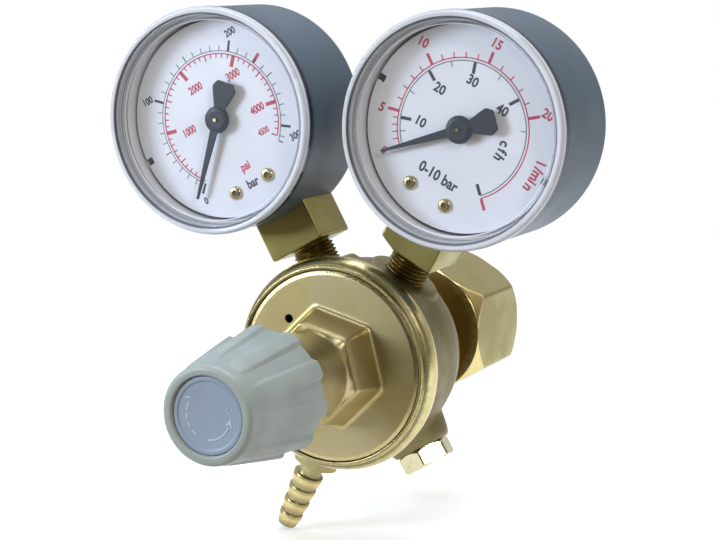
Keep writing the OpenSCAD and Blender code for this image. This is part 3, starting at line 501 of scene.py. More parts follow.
class Recipe:
    """A node tree that is being filled."""

    def __init__(self, tree: bpy.types.NodeTree) -> None:
        """Keeps the tree."""
        self.tree = tree

    def add(
        self,
        kind: str,
        settings: dict[str, object] | None = None,
        inputs: dict[int | str, object] | None = None,
        output: int | str = 0,
    ) -> Wire:
        """Adds a node.

        Args:
            kind: the node's type.
            settings: properties of the node, set before its sockets are read.
            inputs: values, or wires, of its sockets by name or number.
            output: the socket to return.

        Returns:
            That output socket.
        """
        node = self.tree.nodes.new(kind)
        for name, value in (settings or {}).items():
            setattr(node, name, value)
        self.feed(node, inputs or {})
        return Wire(self, node.outputs[output])

    def feed(self, node: bpy.types.Node, inputs: dict[int | str, object]) -> None:
        """Sets or links a node's inputs.

        Args:
            node: the node.
            inputs: values, or wires, of its sockets by name or number.
        """
        for name, value in inputs.items():
            if isinstance(value, Wire):
                self.tree.links.new(value.socket, node.inputs[name])
            else:
                node.inputs[name].default_value = value

    def mix(self, factor: Wire | float, first: object, second: object) -> Wire:
        """Mixes two colours."""
        return self.add("ShaderNodeMix", {"data_type": "RGBA"}, {0: factor, 6: first, 7: second}, 2)

    def cloud(self, size: float, detail: float = 2.0, stretch: Triple = (1, 1, 1)) -> Wire:
        """Makes noise.

        Args:
            size: about how far across its features are, in millimetres.
            detail: how many finer layers it has.
            stretch: what its coordinates are multiplied by; below one draws it out along that axis.

        Returns:
            A value from 0 to 1.
        """
        place = self.add("ShaderNodeTexCoord", output="Object")
        mapped = self.add("ShaderNodeMapping", {}, {"Vector": place, "Scale": stretch})
        inputs = {"Vector": mapped, "Scale": 1 / (size * MM), "Detail": detail}
        return self.add("ShaderNodeTexNoise", {}, inputs)

    def mark(self, name: str) -> Wire:
        """Returns a value that the mesh carries at its points."""
        return self.add("ShaderNodeAttribute", {"attribute_name": name}, output="Fac")

    def bump(self, height: Wire, depth: float) -> Wire:
        """Returns a normal for a height of 0 to 1 that stands for depth millimetres."""
        inputs = {"Height": height, "Strength": 1.0, "Distance": depth * MM}
        return self.add("ShaderNodeBump", {}, inputs, "Normal")

    def ray(self, kind: str) -> Wire:
        """Returns one for a kind of ray, such as "Is Camera Ray", and zero for the rest."""
        return self.add("ShaderNodeLightPath", output=kind)

    def along(self, place: Wire, way: Triple) -> Wire:
        """Returns how far a place lies along a direction."""
        return self.add("ShaderNodeVectorMath", {"operation": "DOT_PRODUCT"}, {0: place, 1: way}, "Value")


@dataclass(frozen=True)
class Finish:
    """A finish of two tints that drift into each other, under a fine grain.

    The tints drift over drift millimetres; the grain is grain millimetres across and relief deep, and
    stretch draws it out along an axis, as brushing does.
    """

    name: str
    slot: Slot | None
    tint: str
    shade: str
    smooth: float
    rough: float
    metallic: float = 0.0
    drift: float = 9.0
    grain: float = 0.35
    relief: float = 0.006
    stretch: Triple = (1, 1, 1)
    specular: float = 0.5

    def material(self) -> bpy.types.Material:
        """Makes the finish's material, once.

        Returns:
            The material, new or as it was made before.
        """
        known = bpy.data.materials.get(self.name)
        if known:
            return known
        material = bpy.data.materials.new(self.name)
        material.use_nodes = True
        recipe = Recipe(material.node_tree)
        shader = material.node_tree.nodes["Principled BSDF"]
        recipe.feed(shader, {"Metallic": self.metallic, "Specular IOR Level": self.specular})
        recipe.feed(shader, self.channels(recipe))
        return material

    def channels(self, recipe: Recipe) -> dict[str, object]:
        """Works out what changes over the surface.

        Args:
            recipe: the material's node tree.

        Returns:
            Wires by the names of the shader's sockets.
        """
        drift = recipe.cloud(self.drift, 3.0).clipped(0.3, 0.7)
        grain = recipe.cloud(self.grain, 2.0, self.stretch)
        wear = (drift * 0.7 + grain * 0.3).clipped(0.1, 0.9)
        return {
            "Base Color": recipe.mix(wear, linear(self.tint), linear(self.shade)),
            "Roughness": wear * (self.rough - self.smooth) + self.smooth,
            "Normal": recipe.bump(grain, self.relief),
        }


@dataclass(frozen=True)
class BrassFinish(Finish):
    """Brass that is brighter where it was machined or rubbed, and darker where shade is painted.

    The mesh carries two values: polish, one on machined edges, and painted shade, one in hollows, gaps and
    shaded faces.
    """

    bright: str = "e2cf92"
    # The dark brown of the painted shade, laid where the mesh marks shade.
    dirt: str = "6a5022"
    polished: float = 0.16

    def channels(self, recipe: Recipe) -> dict[str, object]:
        """Lays polish and painted shade over the plain finish.

        Args:
            recipe: the material's node tree.

        Returns:
            Wires by the names of the shader's sockets.
        """
        plain = super().channels(recipe)
        ragged = recipe.cloud(1.6, 3.0) * 0.5 - 0.25
        polish = (recipe.mark("polish") + ragged).clipped(0.25, 0.85)
        # Painted shade: darker and a little rougher where the mesh marks shade.
        stain = (recipe.mark("stain") + ragged).clipped(0.2, 0.95)
        worn = recipe.mix(polish, plain["Base Color"], linear(self.bright))
        return {
            **plain,
            "Base Color": recipe.mix(stain, worn, linear(self.dirt)),
            "Roughness": plain["Roughness"] + polish * (self.polished - self.smooth) + stain * 0.15,
        }


@dataclass(frozen=True)
class CaseFinish(Finish):
    """Paint or plastic with painted light where the mesh marks it, and painted shade along a rolled lip."""

    # The pale tint is painted light: on the case's inner wall for the light its clear window throws there, on
    # the cap's raised marks for the highlight they catch. The dark tint is painted shade on the case's rolled
    # lip.
    lining: str = "cfcfc4"
    seam: str = "1c232b"

    def channels(self, recipe: Recipe) -> dict[str, object]:
        """Lays the other colours over the plain finish where the mesh marks them.

        Args:
            recipe: the material's node tree.

        Returns:
            Wires by the names of the shader's sockets.
        """
        plain = super().channels(recipe)
        inside = recipe.mix(recipe.mark("lining"), plain["Base Color"], linear(self.lining))
        return {**plain, "Base Color": recipe.mix(recipe.mark("rolled"), inside, linear(self.seam))}


@dataclass(frozen=True)
class WindowFinish(Finish):
    """Clear moulding: glass-like in its middle, milky in its stepped rim, with painted dark lines and glare
    there.

    The mesh carries two values: how milky it is, with a painted glare band on the rim's inner wall, and one
    in the painted dark lines between the steps, which stand for dark reflections and a shadow.
    """

    # Colour of the painted dark lines: dark reflections in the clear rim, and the shadow where its skirt
    # meets the case.
    line: str = "1c2433"
    clearest: float = 0.03

    def channels(self, recipe: Recipe) -> dict[str, object]:
        """Works out the moulding's colour and how much of it covers what lies behind.

        Args:
            recipe: the material's node tree.

        Returns:
            Wires by the names of the shader's sockets.
        """
        plain = super().channels(recipe)
        groove, veil = recipe.mark("groove"), recipe.mark("veil")
        return {
            **plain,
            "Base Color": recipe.mix(groove, plain["Base Color"], linear(self.line)),
            "Alpha": (veil + self.clearest).largest(groove * 0.92),
        }


class Finishes:
    """Every finish of the regulator."""

    forged = BrassFinish(
        "brass_forged", Slot.CAST_BRASS, "8d8566", "80754f", 0.44, 0.56, 1.0, 12.0, 0.3, 0.03,
        bright="d6c890",
    )
    cast = BrassFinish(
        "brass_blasted", Slot.CAST_BRASS, "c1b388", "ae9e6c", 0.36, 0.44, 1.0, 14.0, 0.3, 0.035,
        bright="d8c88c",
    )
    turned = BrassFinish("brass_turned", Slot.TURNED_BRASS, "b6ab82", "a69a6d", 0.26, 0.36, 1.0, 9.0, 0.3)
    block = BrassFinish("brass_sawn", Slot.TURNED_BRASS, "a0955c", "948850", 0.3, 0.4, 1.0, 9.0, 0.3, 0.008)
    relief = BrassFinish(
        "brass_pale", Slot.TURNED_BRASS, "b7b08a", "aaa37c", 0.24, 0.34, 1.0, 6.0, 0.3, bright="e2dab4"
    )
    nut = BrassFinish(
        "brass_brushed", Slot.NUT_BRASS, "aa9f69", "9d915b", 0.3, 0.42, 1.0, 12.0, 0.25, 0.008, (1, 0.06, 1)
    )
    gears = BrassFinish("brass_bright", Slot.TURNED_BRASS, "d3c794", "c9bc84", 0.2, 0.3, 1.0, 6.0, 0.2, 0.003)
    spring = Finish("steel_spring", Slot.SPRING_STEEL, "9a9da0", "74777b", 0.25, 0.38, 1.0, 5.0, 0.2, 0.003)
    plated = Finish("steel_plated", Slot.PLATED_STEEL, "c3c5c4", "a3a6a6", 0.22, 0.34, 1.0, 5.0, 0.25, 0.003)
    aluminium = Finish(
        "aluminium_pressed", Slot.ALUMINIUM, "c9cacb", "adafb1", 0.3, 0.42, 1.0, 6.0, 0.3, 0.004
    )
    rubber = Finish("rubber_black", Slot.RUBBER, "2a2b2c", "1c1d1e", 0.6, 0.8, 0.0, 6.0, 0.25, 0.01)
    nylon = Finish("nylon_ivory", Slot.NYLON, "e4dfcb", "d3ccb2", 0.38, 0.5, 0.0, 5.0, 0.3, 0.004)
    fibre = Finish("fibre_red", Slot.FIBRE, "8a3f2c", "6e2f20", 0.65, 0.85, 0.0, 3.0, 0.2, 0.012)
    bronze = Finish("bronze_sintered", Slot.BRONZE, "a98a55", "6f5730", 0.5, 0.7, 1.0, 0.8, 0.16, 0.05)
    copper = Finish("copper_annealed", Slot.COPPER, "b87550", "97583a", 0.3, 0.45, 1.0, 4.0, 0.25, 0.005)
    tube = Finish("bronze_tube", Slot.TUBE_BRONZE, "c79a56", "a87f40", 0.24, 0.36, 1.0, 5.0, 0.2, 0.003)
    knob = Finish("plastic_knob", Slot.KNOB, "9ea7a4", "969f9c", 0.34, 0.46, 0.0, 8.0, 0.22, 0.008)
    cap = CaseFinish("plastic_cap", Slot.CAP, "909fb3", "8b9aae", 0.36, 0.48, 0.0, 5.0, 0.22, lining="b3c0d0")
    case = CaseFinish(
        "paint_slate", Slot.CASE, "485a6a", "455665", 0.4, 0.48, 0.0, 16.0, 0.2, 0.008, lining="dcdde4"
    )
    window = WindowFinish(
        "window_moulding", Slot.WINDOW, "e2e5f0", "dadeea", 0.05, 0.09, 0.0, 14.0, 0.5, 0.001, specular=0.3
    )
    dial = Finish("dial_enamel", Slot.DIAL, "e1e5f2", "dadfec", 0.34, 0.44, 0.0, 12.0, 0.3, 0.002)
    black = Finish("print_black", Slot.POINTER, "1f232a", "2b3039", 0.45, 0.6, 0.0, 2.0, 0.1, 0.002)
    grey = Finish("print_grey", Slot.POINTER, "6b6f78", "7c818b", 0.45, 0.6, 0.0, 2.0, 0.1, 0.002)
    red = Finish("print_red", None, "b52046", "c23c5e", 0.45, 0.6, 0.0, 2.0, 0.1, 0.002)
    pointer = Finish(
        "pointer_enamel", Slot.POINTER, "1d2734", "18202c", 0.36, 0.48, 0.0, 3.0, 0.15, 0.003, specular=0.3
    )


# Pieces


def make_piece(
    name: str,
    shell: Shell,
    finish: Finish,
    body: str = "root",
    node: str = "",
    sharp: float = 34.0,
    joins: Sequence[Shell] = (),
    cuts: Sequence[Shell] = (),
) -> None:
    """Makes one piece of the object, at the origin, with its place in its mesh.

    Args:
        name: the piece's name.
        shell: its skin in the row frame, in millimetres.
        finish: what it is made of.
        body: the body that carries it.
        node: the node that it stands for, if any.
        sharp: edges that turn by more than this many degrees stay sharp.
        joins: closed shells that are made one with it.
        cuts: closed shells that are then taken out of it.
    """
    piece = raw_object(name, shell)
    for join in joins:
        combine(piece, join, "UNION")
    for cut in cuts:
        combine(piece, cut, "DIFFERENCE")
    mesh = piece.data
    mesh.shade_smooth()
    mesh.set_sharp_from_angle(angle=math.radians(sharp))
    mesh.materials.clear()
    mesh.materials.append(finish.material())
    if node:
        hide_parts(node)
    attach(piece, body)
    LOG.info("%s: %d faces on %s", name, len(mesh.polygons), body)


def raw_object(name: str, shell: Shell) -> bpy.types.Object:
    """Makes an object.

    Args:
        name: its name.
        shell: its skin, in millimetres.

    Returns:
        The object, whose mesh is in metres and carries the shell's values at its points.
    """
    shell = shell.outward()
    mesh = bpy.data.meshes.new(name)
    mesh.from_pydata(shell.points * MM, [], shell.quads.tolist() + [cap.tolist() for cap in shell.caps])
    for key, numbers in shell.values.items():
        mesh.attributes.new(key, "FLOAT", "POINT").data.foreach_set("value", numbers.astype(np.float32))
    piece = bpy.data.objects.new(name, mesh)
    bpy.context.scene.collection.objects.link(piece)
    return piece


def combine(piece: bpy.types.Object, shell: Shell, operation: str) -> None:
    """Applies one boolean operation with a closed shell.

    Args:
        piece: the object whose mesh changes.
        shell: the other shape, in millimetres.
        operation: Blender's name of the operation.
    """
    tool = raw_object("tool", shell)
    modifier = piece.modifiers.new("combine", "BOOLEAN")
    modifier.object = tool
    modifier.operation = operation
    modifier.solver = "EXACT"
    shaped = piece.evaluated_get(bpy.context.evaluated_depsgraph_get())
    mesh = bpy.data.meshes.new_from_object(shaped)
    piece.modifiers.clear()
    piece.data = mesh
    bpy.data.objects.remove(tool)


def bore(radius: float, low: float, high: float, columns: int = 48) -> Shell:
    """Returns a plain cylinder to cut a hole with."""
    return turned(np.array([[radius, low], [radius, high]]), columns)


class Boss(NamedTuple):
    """A round boss on the body and its bore, which starts at a distance from the main axis."""

    lean: float
    station: float
    radius: float
    reach: float
    flare: float
    bore: float
    bore_start: float


@dataclass
class BodyForging:
    """The forged body: a turned barrel with a bead, into which four bosses run smoothly."""

    front: float = -60.4
    bead: Triple = (20.5, -56.4, 3.2)
    back: float = -34.7
    columns: int = 600
    bosses: tuple[Boss, ...] = (
        Boss(-29.0, -43.6, 7.3, 21.2, 1.6, 4.84, 14.4),
        Boss(29.0, -43.6, 7.3, 21.2, 1.6, 4.84, 14.4),
        Boss(205.0, -44.0, 6.3, 24.4, 2.2, 3.99, 14.5),
        Boss(149.0, -39.4, 5.8, 24.9, 3.2, 3.59, 17.6),
    )
    chambers: tuple[Pair, ...] = (
        (7.0, back), (7.0, -41.5), (5.5, -41.5), (5.5, -46.5), (4.0, -46.5), (4.0, -50.5),
        (17.0, -50.5), (17.0, -54.0), (21.2, -54.0), (21.2, front + 0.2),
    )

    def outside(self) -> Array:
        """Draws the turned outside.

        Returns:
            Points of (radius, station) from the front rim, round the bead's arc and along the side.
        """
        radius, station, size = self.bead
        turn = np.radians(np.linspace(-62, 60, 25))
        arc = np.stack([radius + size * np.cos(turn), station + size * np.sin(turn)], -1)
        rim = rounded([
            (21.2, self.front + 0.9, 0), (21.3, self.front + 0.12, 0.08), (22.0, self.front + 0.05, 0.2),
            (22.0, -59.2, 0),
        ])
        side = rounded([
            (22.1, -53.62, 0), (21.75, -52.6, 1.4), (21.7, -49, 0), (21.45, -43, 8), (21.2, -39.7, 2),
            (20.2, -36.0, 1.6), (19.2, self.back, 0.5), (17.0, self.back, 0),
        ], steps=6)
        return np.concatenate([rim[:-1], resampled(np.concatenate([arc, side]), 0.28)])

    def raised(self, profile: Array) -> Array:
        """Raises the bosses out of the turned outside.

        A boss is a flat top at reach / cos(angle from its axis); it counts in full within its radius of
        its axis and eases away over its flare.

        Args:
            profile: points of (radius, station).

        Returns:
            Radii, as an array of rows by columns.
        """
        radius, station = profile[:, :1], profile[:, 1:]
        outside = np.broadcast_to(radius, (len(profile), self.columns))
        for boss in self.bosses:
            away = turn_angles(self.columns) - math.radians(boss.lean - 90)
            away = (away + math.pi) % (2 * math.pi) - math.pi
            top = boss.reach / np.clip(np.cos(away), 0.3, None)
            across = np.hypot(0.5 * (radius + boss.reach) * np.sin(away), station - boss.station)
            share = 1 - ease(boss.radius - 0.3, boss.radius + boss.flare, across)
            share = np.where((np.cos(away) > 0.5) & (station > self.bead[1]), share, 0)
            outside = np.maximum(outside, radius + np.clip(top - radius, 0, None) * share)
        return outside

    def build(self) -> None:
        """Makes the forging, polished on its bead and rim, with painted shade in the hollow behind the bead
        and inside the rim where the bonnet sits.
        """
        profile, inner = self.outside(), np.array(self.chambers)
        radii, heights = stacked(self.columns, (self.raised(profile), profile[:, 1:]), inner)
        base, station = stacked(1, profile, inner)
        bead = ease(22.0, 23.3, base) * ease(-53.8, -55.4, station) * 0.75
        rim = np.where((station < -59.0) & (base > 21.3), 0.6, 0)
        # Painted shade: a dark line in the hollow behind the bead and in the gap round the bonnet.
        hollow = 0.5 * np.exp(-(((station + 53.3) / 0.7) ** 2)) * (base > 21)
        seat = np.where(base < 21.25, 0.6, 0) * (station < -55.0)
        marks = {"polish": np.maximum(bead, rim), "stain": np.maximum(hollow, seat)}
        shell = closed_ring(Placement.along_axis(), radii, heights, **marks)
        cuts = [
            bore(boss.bore, boss.bore_start, 30).placed(Placement.on_radius(boss.lean, boss.station))
            for boss in self.bosses
        ]
        make_piece("body_forging_skin", shell, Finishes.forged, node="body_forging", sharp=38, cuts=cuts)


@dataclass
class Bonnet:
    """The screwed bonnet: a flat disc, a tapered hexagon with a soft foot, and the spring tower.

    The rows of its edge are (inset, rise, polish, painted shade) from the disc's outer corner, where the
    painted shade darkens the disc's side in the gap to the body; those of its bores are (radius, station).
    """

    disc: float = -60.4
    radius: float = 21.12
    foot_width: float = 22.8
    shoulder_width: float = 19.6
    height: float = 8.2
    foot: float = 1.1
    shoulder: float = 0.4
    first_flat: float = 45.5
    tower: float = 9.3
    tower_end: float = -90.4
    vent: Triple = (-45.0, 13.9, 1.0)
    columns: int = 360
    edge: tuple[tuple[float, float, float, float], ...] = (
        (0.0, 4.9, 0.0, 0.6), (0.0, 0.6, 0.0, 0.6), (0.04, 0.4, 0.0, 0.3), (0.12, 0.312, 0.4, 0.0),
        (0.3, 0.24, 0.5, 0.0), (0.6, 0.12, 0.5, 0.0), (0.85, 0.02, 0.45, 0.0), (1.0, 0.0, 0.15, 0.0),
        (1.25, 0.0, 0.0, 0.0),
    )
    bores: tuple[Pair, ...] = (
        (4.6, tower_end), (4.05, tower_end + 0.5), (4.05, -84.4), (7.8, -84.4), (7.8, disc + 0.6),
        (17.0, disc + 0.6), (17.0, -55.5),
    )

    def hexagon_rows(self, angles: Array) -> list[tuple[Array | float, ...]]:
        """Draws the hexagon's foot, its walls, its rounded shoulder and the dish on its top.

        The foot and the shoulder are quarter rounds; between them the width shrinks evenly.

        Args:
            angles: angles of the points, in radians.

        Returns:
            Blocks of rows, each as its radii, stations, polish and painted shade.
        """
        base = hexagon(angles, self.foot_width, self.first_flat, 34)
        top = hexagon(angles, self.shoulder_width, self.first_flat, 40)
        quarter = np.linspace(0, math.pi / 2, 6)[:, None]
        flare = quarter[1:]
        rise = np.linspace(self.foot, self.height - 0.5, 8)[1:, None]
        taper = (self.shoulder_width - self.foot_width) * (rise - self.foot) / (self.height - self.foot)
        wall = hexagon(angles, self.foot_width + taper, self.first_flat, 34 + 0.7 * rise)
        head = self.disc - self.height
        inward = np.array([0.35, 0.7, 1.0])[:, None]
        brim = top - self.shoulder
        circle = self.radius - 1.3
        share = np.linspace(0.02, 1, 16)[:, None]
        return [
            (circle + (base + self.foot - circle) * share, self.disc, 0.0, 0.0),
            (
                base + self.foot * (1 - np.sin(flare)),
                self.disc - self.foot * (1 - np.cos(flare)),
                0.4 * (1 - flare / 2),
                0.0,
            ),
            # The walls get a little painted shade.
            (wall, self.disc - rise, 0.0, 0.1),
            (
                top - self.shoulder * (1 - np.cos(quarter)),
                head + 0.35 - self.shoulder * np.sin(quarter),
                0.35,
                0.0,
            ),
            (brim + (self.tower + 0.25 - brim) * inward, head - 0.05 - 1.1 * inward, 0.0, 0.0),
        ]

    def build(self) -> None:
        """Makes the bonnet, from the disc's edge to the tower's end and back through the bores."""
        angles = turn_angles(self.columns)
        # The edge's last column, and the last value of each block below, is painted shade: on the disc's side
        # in the gap to the body, on the hexagon's walls and in the bores.
        inset, rise, shine, dirt = np.array(self.edge).T[..., None]
        bore_radii, bore_stations = np.array(self.bores).T[..., None]
        head = self.disc - self.height
        shaft = np.linspace(head - 2.2, self.tower_end + 1.2, 12)[:, None]
        blocks = [
            (self.radius - inset, self.disc + rise, shine, dirt),
            *self.hexagon_rows(angles),
            (self.tower, head - 1.6, 0.0, 0.0),
            (self.tower - 0.4 * ease(-70, -89, shaft), shaft, 0.0, 0.0),
            (self.tower - 1.0, self.tower_end, 0.5, 0.0),
            (bore_radii, bore_stations, 0.0, 0.2),
        ]
        spread = [np.broadcast_arrays(angles, *block)[1:] for block in blocks]
        radii, heights, polish, stain = (np.concatenate(layer) for layer in zip(*spread))
        shell = closed_ring(Placement.along_axis(), radii, heights, polish=polish, stain=stain)
        lean, out, size = self.vent
        middle = (out * math.sin(math.radians(lean)), 0, out * math.cos(math.radians(lean)))
        vent = bore(size, -62, -55, 32).placed(Placement.along_axis(middle))
        make_piece("bonnet_skin", shell, Finishes.cast, node="bonnet", sharp=30, cuts=[vent])


@dataclass
class Knob:
    """The fluted knob: a cone with raised ribs that run out behind its front ring."""

    rear: float = -88.0
    front: float = -112.6
    front_radius: float = 10.0
    rear_radius: float = 13.1
    ribs: int = 10
    rib_width: float = 3.3
    rib_height: float = 0.9
    rib_turn: float = -62.8
    square: float = 2.85
    cap_face: float = -111.9
    cap_back: float = -110.5
    mark_radius: float = 4.85
    columns: int = 600
    hollows: tuple[Pair, ...] = (
        (10.4, rear), (10.2, rear - 0.3), (10.2, -100.9), (square, -100.9), (square, -105.9), (1.55, -105.9),
        (1.55, -107.7), (4.05, -107.7), (4.05, cap_back), (7.95, cap_back),
    )

    def rib(self, radius: Array, station: Array) -> Array:
        """Works out the ribs: flat pads with eased sides, rising from nothing behind the front ring.

        Args:
            radius: the cone's radius in each row.
            station: the station of each row.

        Returns:
            The ribs' height over the cone, as an array of rows by columns.
        """
        pitch = 2 * math.pi / self.ribs
        off = (turn_angles(self.columns) - math.radians(self.rib_turn) + pitch / 2) % pitch - pitch / 2
        across = np.abs(off * radius)
        grown = ease(self.front + 2.2, self.front + 6.0, station)
        half = self.rib_width / 2 * (0.8 + 0.3 * grown)
        share = 1 - ease(half - 0.5, half + 0.55, across)
        return self.rib_height * (0.35 + 0.65 * ease(self.front, self.rear, station)) * grown * share

    def build(self) -> None:
        """Makes the knob as one ring of rows, outside then through its cavities, and its cap."""
        outer = rounded([
            (7.95, self.front + 0.5, 0), (8.15, self.front, 0.3), (self.front_radius, self.front, 1.1),
            (self.front_radius + 0.25, self.front + 2.4, 0), (self.rear_radius, self.rear, 0.45),
            (self.rear_radius - 2.0, self.rear, 0),
        ], steps=6)
        outer = resampled(outer, 0.45)
        radius, station = outer[:, :1], outer[:, 1:]
        lift = self.rib(radius, station) * (radius > self.front_radius) * (station < self.rear - 0.02)
        angles = turn_angles(self.columns)
        inside, depths = (grid.copy() for grid in stacked(self.columns, np.array(self.hollows)))
        inside[3:5] = self.square / np.maximum(np.abs(np.cos(angles)), np.abs(np.sin(angles)))
        radii, heights = stacked(self.columns, (radius + lift, station), (inside, depths))
        shell = closed_ring(Placement.along_axis(), radii, heights)
        make_piece("adjusting_knob_skin", shell, Finishes.knob, "adjuster", "adjusting_knob", sharp=36)
        self.build_cap()

    def build_cap(self) -> None:
        """Makes the cap: a shallow dish in a raised rim, a plug behind it and a raised turning arrow."""
        face, back = self.cap_face, self.cap_back
        dish = rounded([
            (7.86, back - 0.05, 0), (7.86, face - 0.05, 0.25), (7.0, face - 0.05, 0.2),
            (6.7, face + 0.22, 0.15), (0.4, face + 0.3, 0),
        ])
        plug = [[0.4, back], [3.0, back], [3.0, -109.75], [3.96, -109.75], [3.96, back - 0.05]]
        cap = turned_solid(np.concatenate([dish, plug]), [(0.4, face + 0.3), (0.4, back)], 128)
        levels = (-0.05, 0.16)
        dashes = ((-93.0, -18.0), (152.0, 172.0), (179.0, 192.0), (199.0, 213.0), (220.0, 236.0))
        marks = [sector(self.mark_radius, 0.36, start, end, *levels) for start, end in dashes]
        marks += [
            arrow_head(self.mark_radius, -17.0, 1.3, 0.8, *levels),
            bars([(-4.6, 3.2, 0.0)], 0.65, 0.15, *levels),
            bars([(4.6, 1.6, 0.0), (4.6, 1.6, 90.0)], 0.65, 0.15, *levels),
        ]
        # The raised marks take the cap's pale tint: a painted highlight for the light they catch.
        for mark in marks:
            mark.values["lining"] = np.ones(len(mark.points))
        to_reader = Placement.facing(0, 0, face + 0.32)
        shells = [cap.placed(Placement.along_axis())] + [mark.placed(to_reader) for mark in marks]
        make_piece("knob_cap_skin", merged(shells), Finishes.cap, "adjuster", "knob_cap")


def sector(radius: float, width: float, start: float, end: float, low: float, high: float) -> Shell:
    """Draws a flat strip along an arc, with square ends.

    Args:
        radius: radius of its middle.
        width: its width.
        start: angle of its first end, in degrees.
        end: angle of its last end.
        low: level of its back.
        high: level of its front.

    Returns:
        A closed shell with a row about every two degrees.
    """
    turn = np.radians(np.linspace(start, end, max(3, int(abs(end - start) / 2))))[:, None]
    radii = radius + width / 2 * np.array([[-1, 1, 1, -1]])
    return skin(polar(radii, np.array([[low, low, high, high]]), turn)).outward()


def arrow_head(radius: float, angle: float, length: float, half: float, low: float, high: float) -> Shell:
    """Draws a flat triangle that points along an arc, the way the angle grows.

    Args:
        radius: radius of the arc.
        angle: where on the arc it stands, in degrees.
        length: how far its tip reaches along the arc's tangent.
        half: half the width of its foot.
        low: level of its back.
        high: level of its front.

    Returns:
        A closed shell.
    """
    a = math.radians(angle)
    out, ahead = np.array([math.cos(a), math.sin(a)]), np.array([-math.sin(a), math.cos(a)])
    foot, tip = radius * out - 0.3 * ahead, radius * out + length * ahead
    return plate(np.array([foot - half * out, tip, foot + half * out]), low, high)


def bars(places: Sequence[Triple] | Array, half: float, half_width: float, low: float, high: float) -> Shell:
    """Draws straight strokes of one size.

    Args:
        places: (x, y, turn in degrees) of each stroke.
        half: half its length.
        half_width: half its width.
        low: level of its back.
        high: level of its front.

    Returns:
        A shell of separate boxes, whose corners are turned about their own middles.
    """
    spots = np.array(places, float)
    turn = np.radians(spots[:, 2:])
    u, v = np.array([[-half, half, half, -half]]), half_width * np.array([[-1, -1, 1, 1]])
    x = spots[:, :1] + u * np.cos(turn) - v * np.sin(turn)
    y = spots[:, 1:2] + u * np.sin(turn) + v * np.cos(turn)
    return boxes(np.stack([x, y], -1), low, high)


def boxes(flat: Array, low: float, high: float) -> Shell:
    """Gives many four-cornered outlines a thickness.

    Args:
        flat: corners as an array of outlines by four by two.
        low: level of their backs.
        high: level of their fronts.

    Returns:
        One shell of separate boxes.
    """
    count = len(flat)
    ends = [np.concatenate([flat, np.full((count, 4, 1), level)], -1) for level in (low, high)]
    pattern = np.array([[3, 2, 1, 0], [4, 5, 6, 7], [0, 1, 5, 4], [1, 2, 6, 5], [2, 3, 7, 6], [3, 0, 4, 7]])
    quads = (pattern[None] + 8 * np.arange(count)[:, None, None]).reshape(-1, 4)
    return Shell(np.concatenate(ends, 1).reshape(-1, 3), quads).outward()


def lettering(text: str, height: float, squeeze: float) -> Shell:
    """Draws numbers or a unit as raised letters, centred at the origin and one unit deep.

    Args:
        text: what is written.
        height: height of a capital, in millimetres.
        squeeze: its width as a share of the plain letter's.

    Returns:
        The letters' faces, as closed shells side by side.
    """
    curve = bpy.data.curves.new(text, "FONT")
    curve.body = text
    curve.align_x = "CENTER"
    curve.align_y = "CENTER"
    curve.extrude = 0.5
    curve.offset = 0.03
    curve.resolution_u = 3
    holder = bpy.data.objects.new(text, curve)
    bpy.context.scene.collection.objects.link(holder)
    mesh = bpy.data.meshes.new_from_object(holder.evaluated_get(bpy.context.evaluated_depsgraph_get()))
    points = np.zeros(len(mesh.vertices) * 3)
    mesh.vertices.foreach_get("co", points)
    faces = [np.array(polygon.vertices) for polygon in mesh.polygons]
    bpy.data.objects.remove(holder)
    scale = height / 0.7
    stretch = np.array([scale * squeeze, scale, 1.0])
    points = (points.reshape(-1, 3) + np.array([0, 0.02, 0.5])) * stretch
    return Shell(points, np.zeros((0, 4), int), faces)


@dataclass
class InletNut:
    """The hexagon nut: chamfered ends, a thread in its mouth and a bore that holds it on the nipple."""

    low: float = -13.0
    high: float = 12.0
    width: float = 30.0
    chamfer: float = 0.58
    edge: float = 0.15
    columns: int = 360
    mouth: tuple[Pair, ...] = ((11.9, high), (11.75, high), (9.85, high - 1.9))
    bores: tuple[Pair, ...] = (
        (10.25, 0.0), (10.25, -6.85), (10.2, -6.9), (6.75, -6.9), (6.7, -7.0), (6.7, low + 0.4), (7.1, low),
        (11.0, low), (14.6, low),
    )

    def build(self) -> None:
        """Makes the nut as one ring of rows, outside and then back through its bore.

        It is polished where its flats meet the cone of an end, with painted shade in its bore and on its rear
        face, which lies in the body's shadow.
        """
        ends = (self.low, self.high)
        outside, stations = hexagon_bar(self.columns, self.width, ends, (4.4, 26, 3), 0.0, self.chamfer)
        from_end = np.minimum(stations - self.low, self.high - stations)
        outside = outside - self.edge * (1 - ease(0, 2 * self.edge, from_end))
        radii, heights = stacked(
            self.columns,
            (outside, stations),
            np.array(self.mouth),
            screw(self.columns, (self.high - 2.0, 0.1), 90, 10.6, 0.75, 1.81),
            np.array(self.bores),
        )
        from_rear = np.abs(heights - self.low)
        inward = np.minimum(from_rear, np.abs(heights - self.high))
        cone = self.width / 2 + 0.1 + inward * self.chamfer
        polish = 0.8 * (radii > 14.5) * ease(0.35, 0.05, np.abs(radii - cone)) * (inward < 4.5)
        # Painted shade: darker through the mouth, thread and bore, and on the rear face in the body's shadow.
        stain = np.where(radii < 11.5, 0.55, 0.0) + 0.6 * ease(0.35, 0.0, from_rear) * (radii < 15.0)
        shell = closed_ring(Placement.along_axis(), radii, heights, polish=polish, stain=stain)
        make_piece("inlet_nut_skin", shell, Finishes.nut, "nut", "inlet_nut")


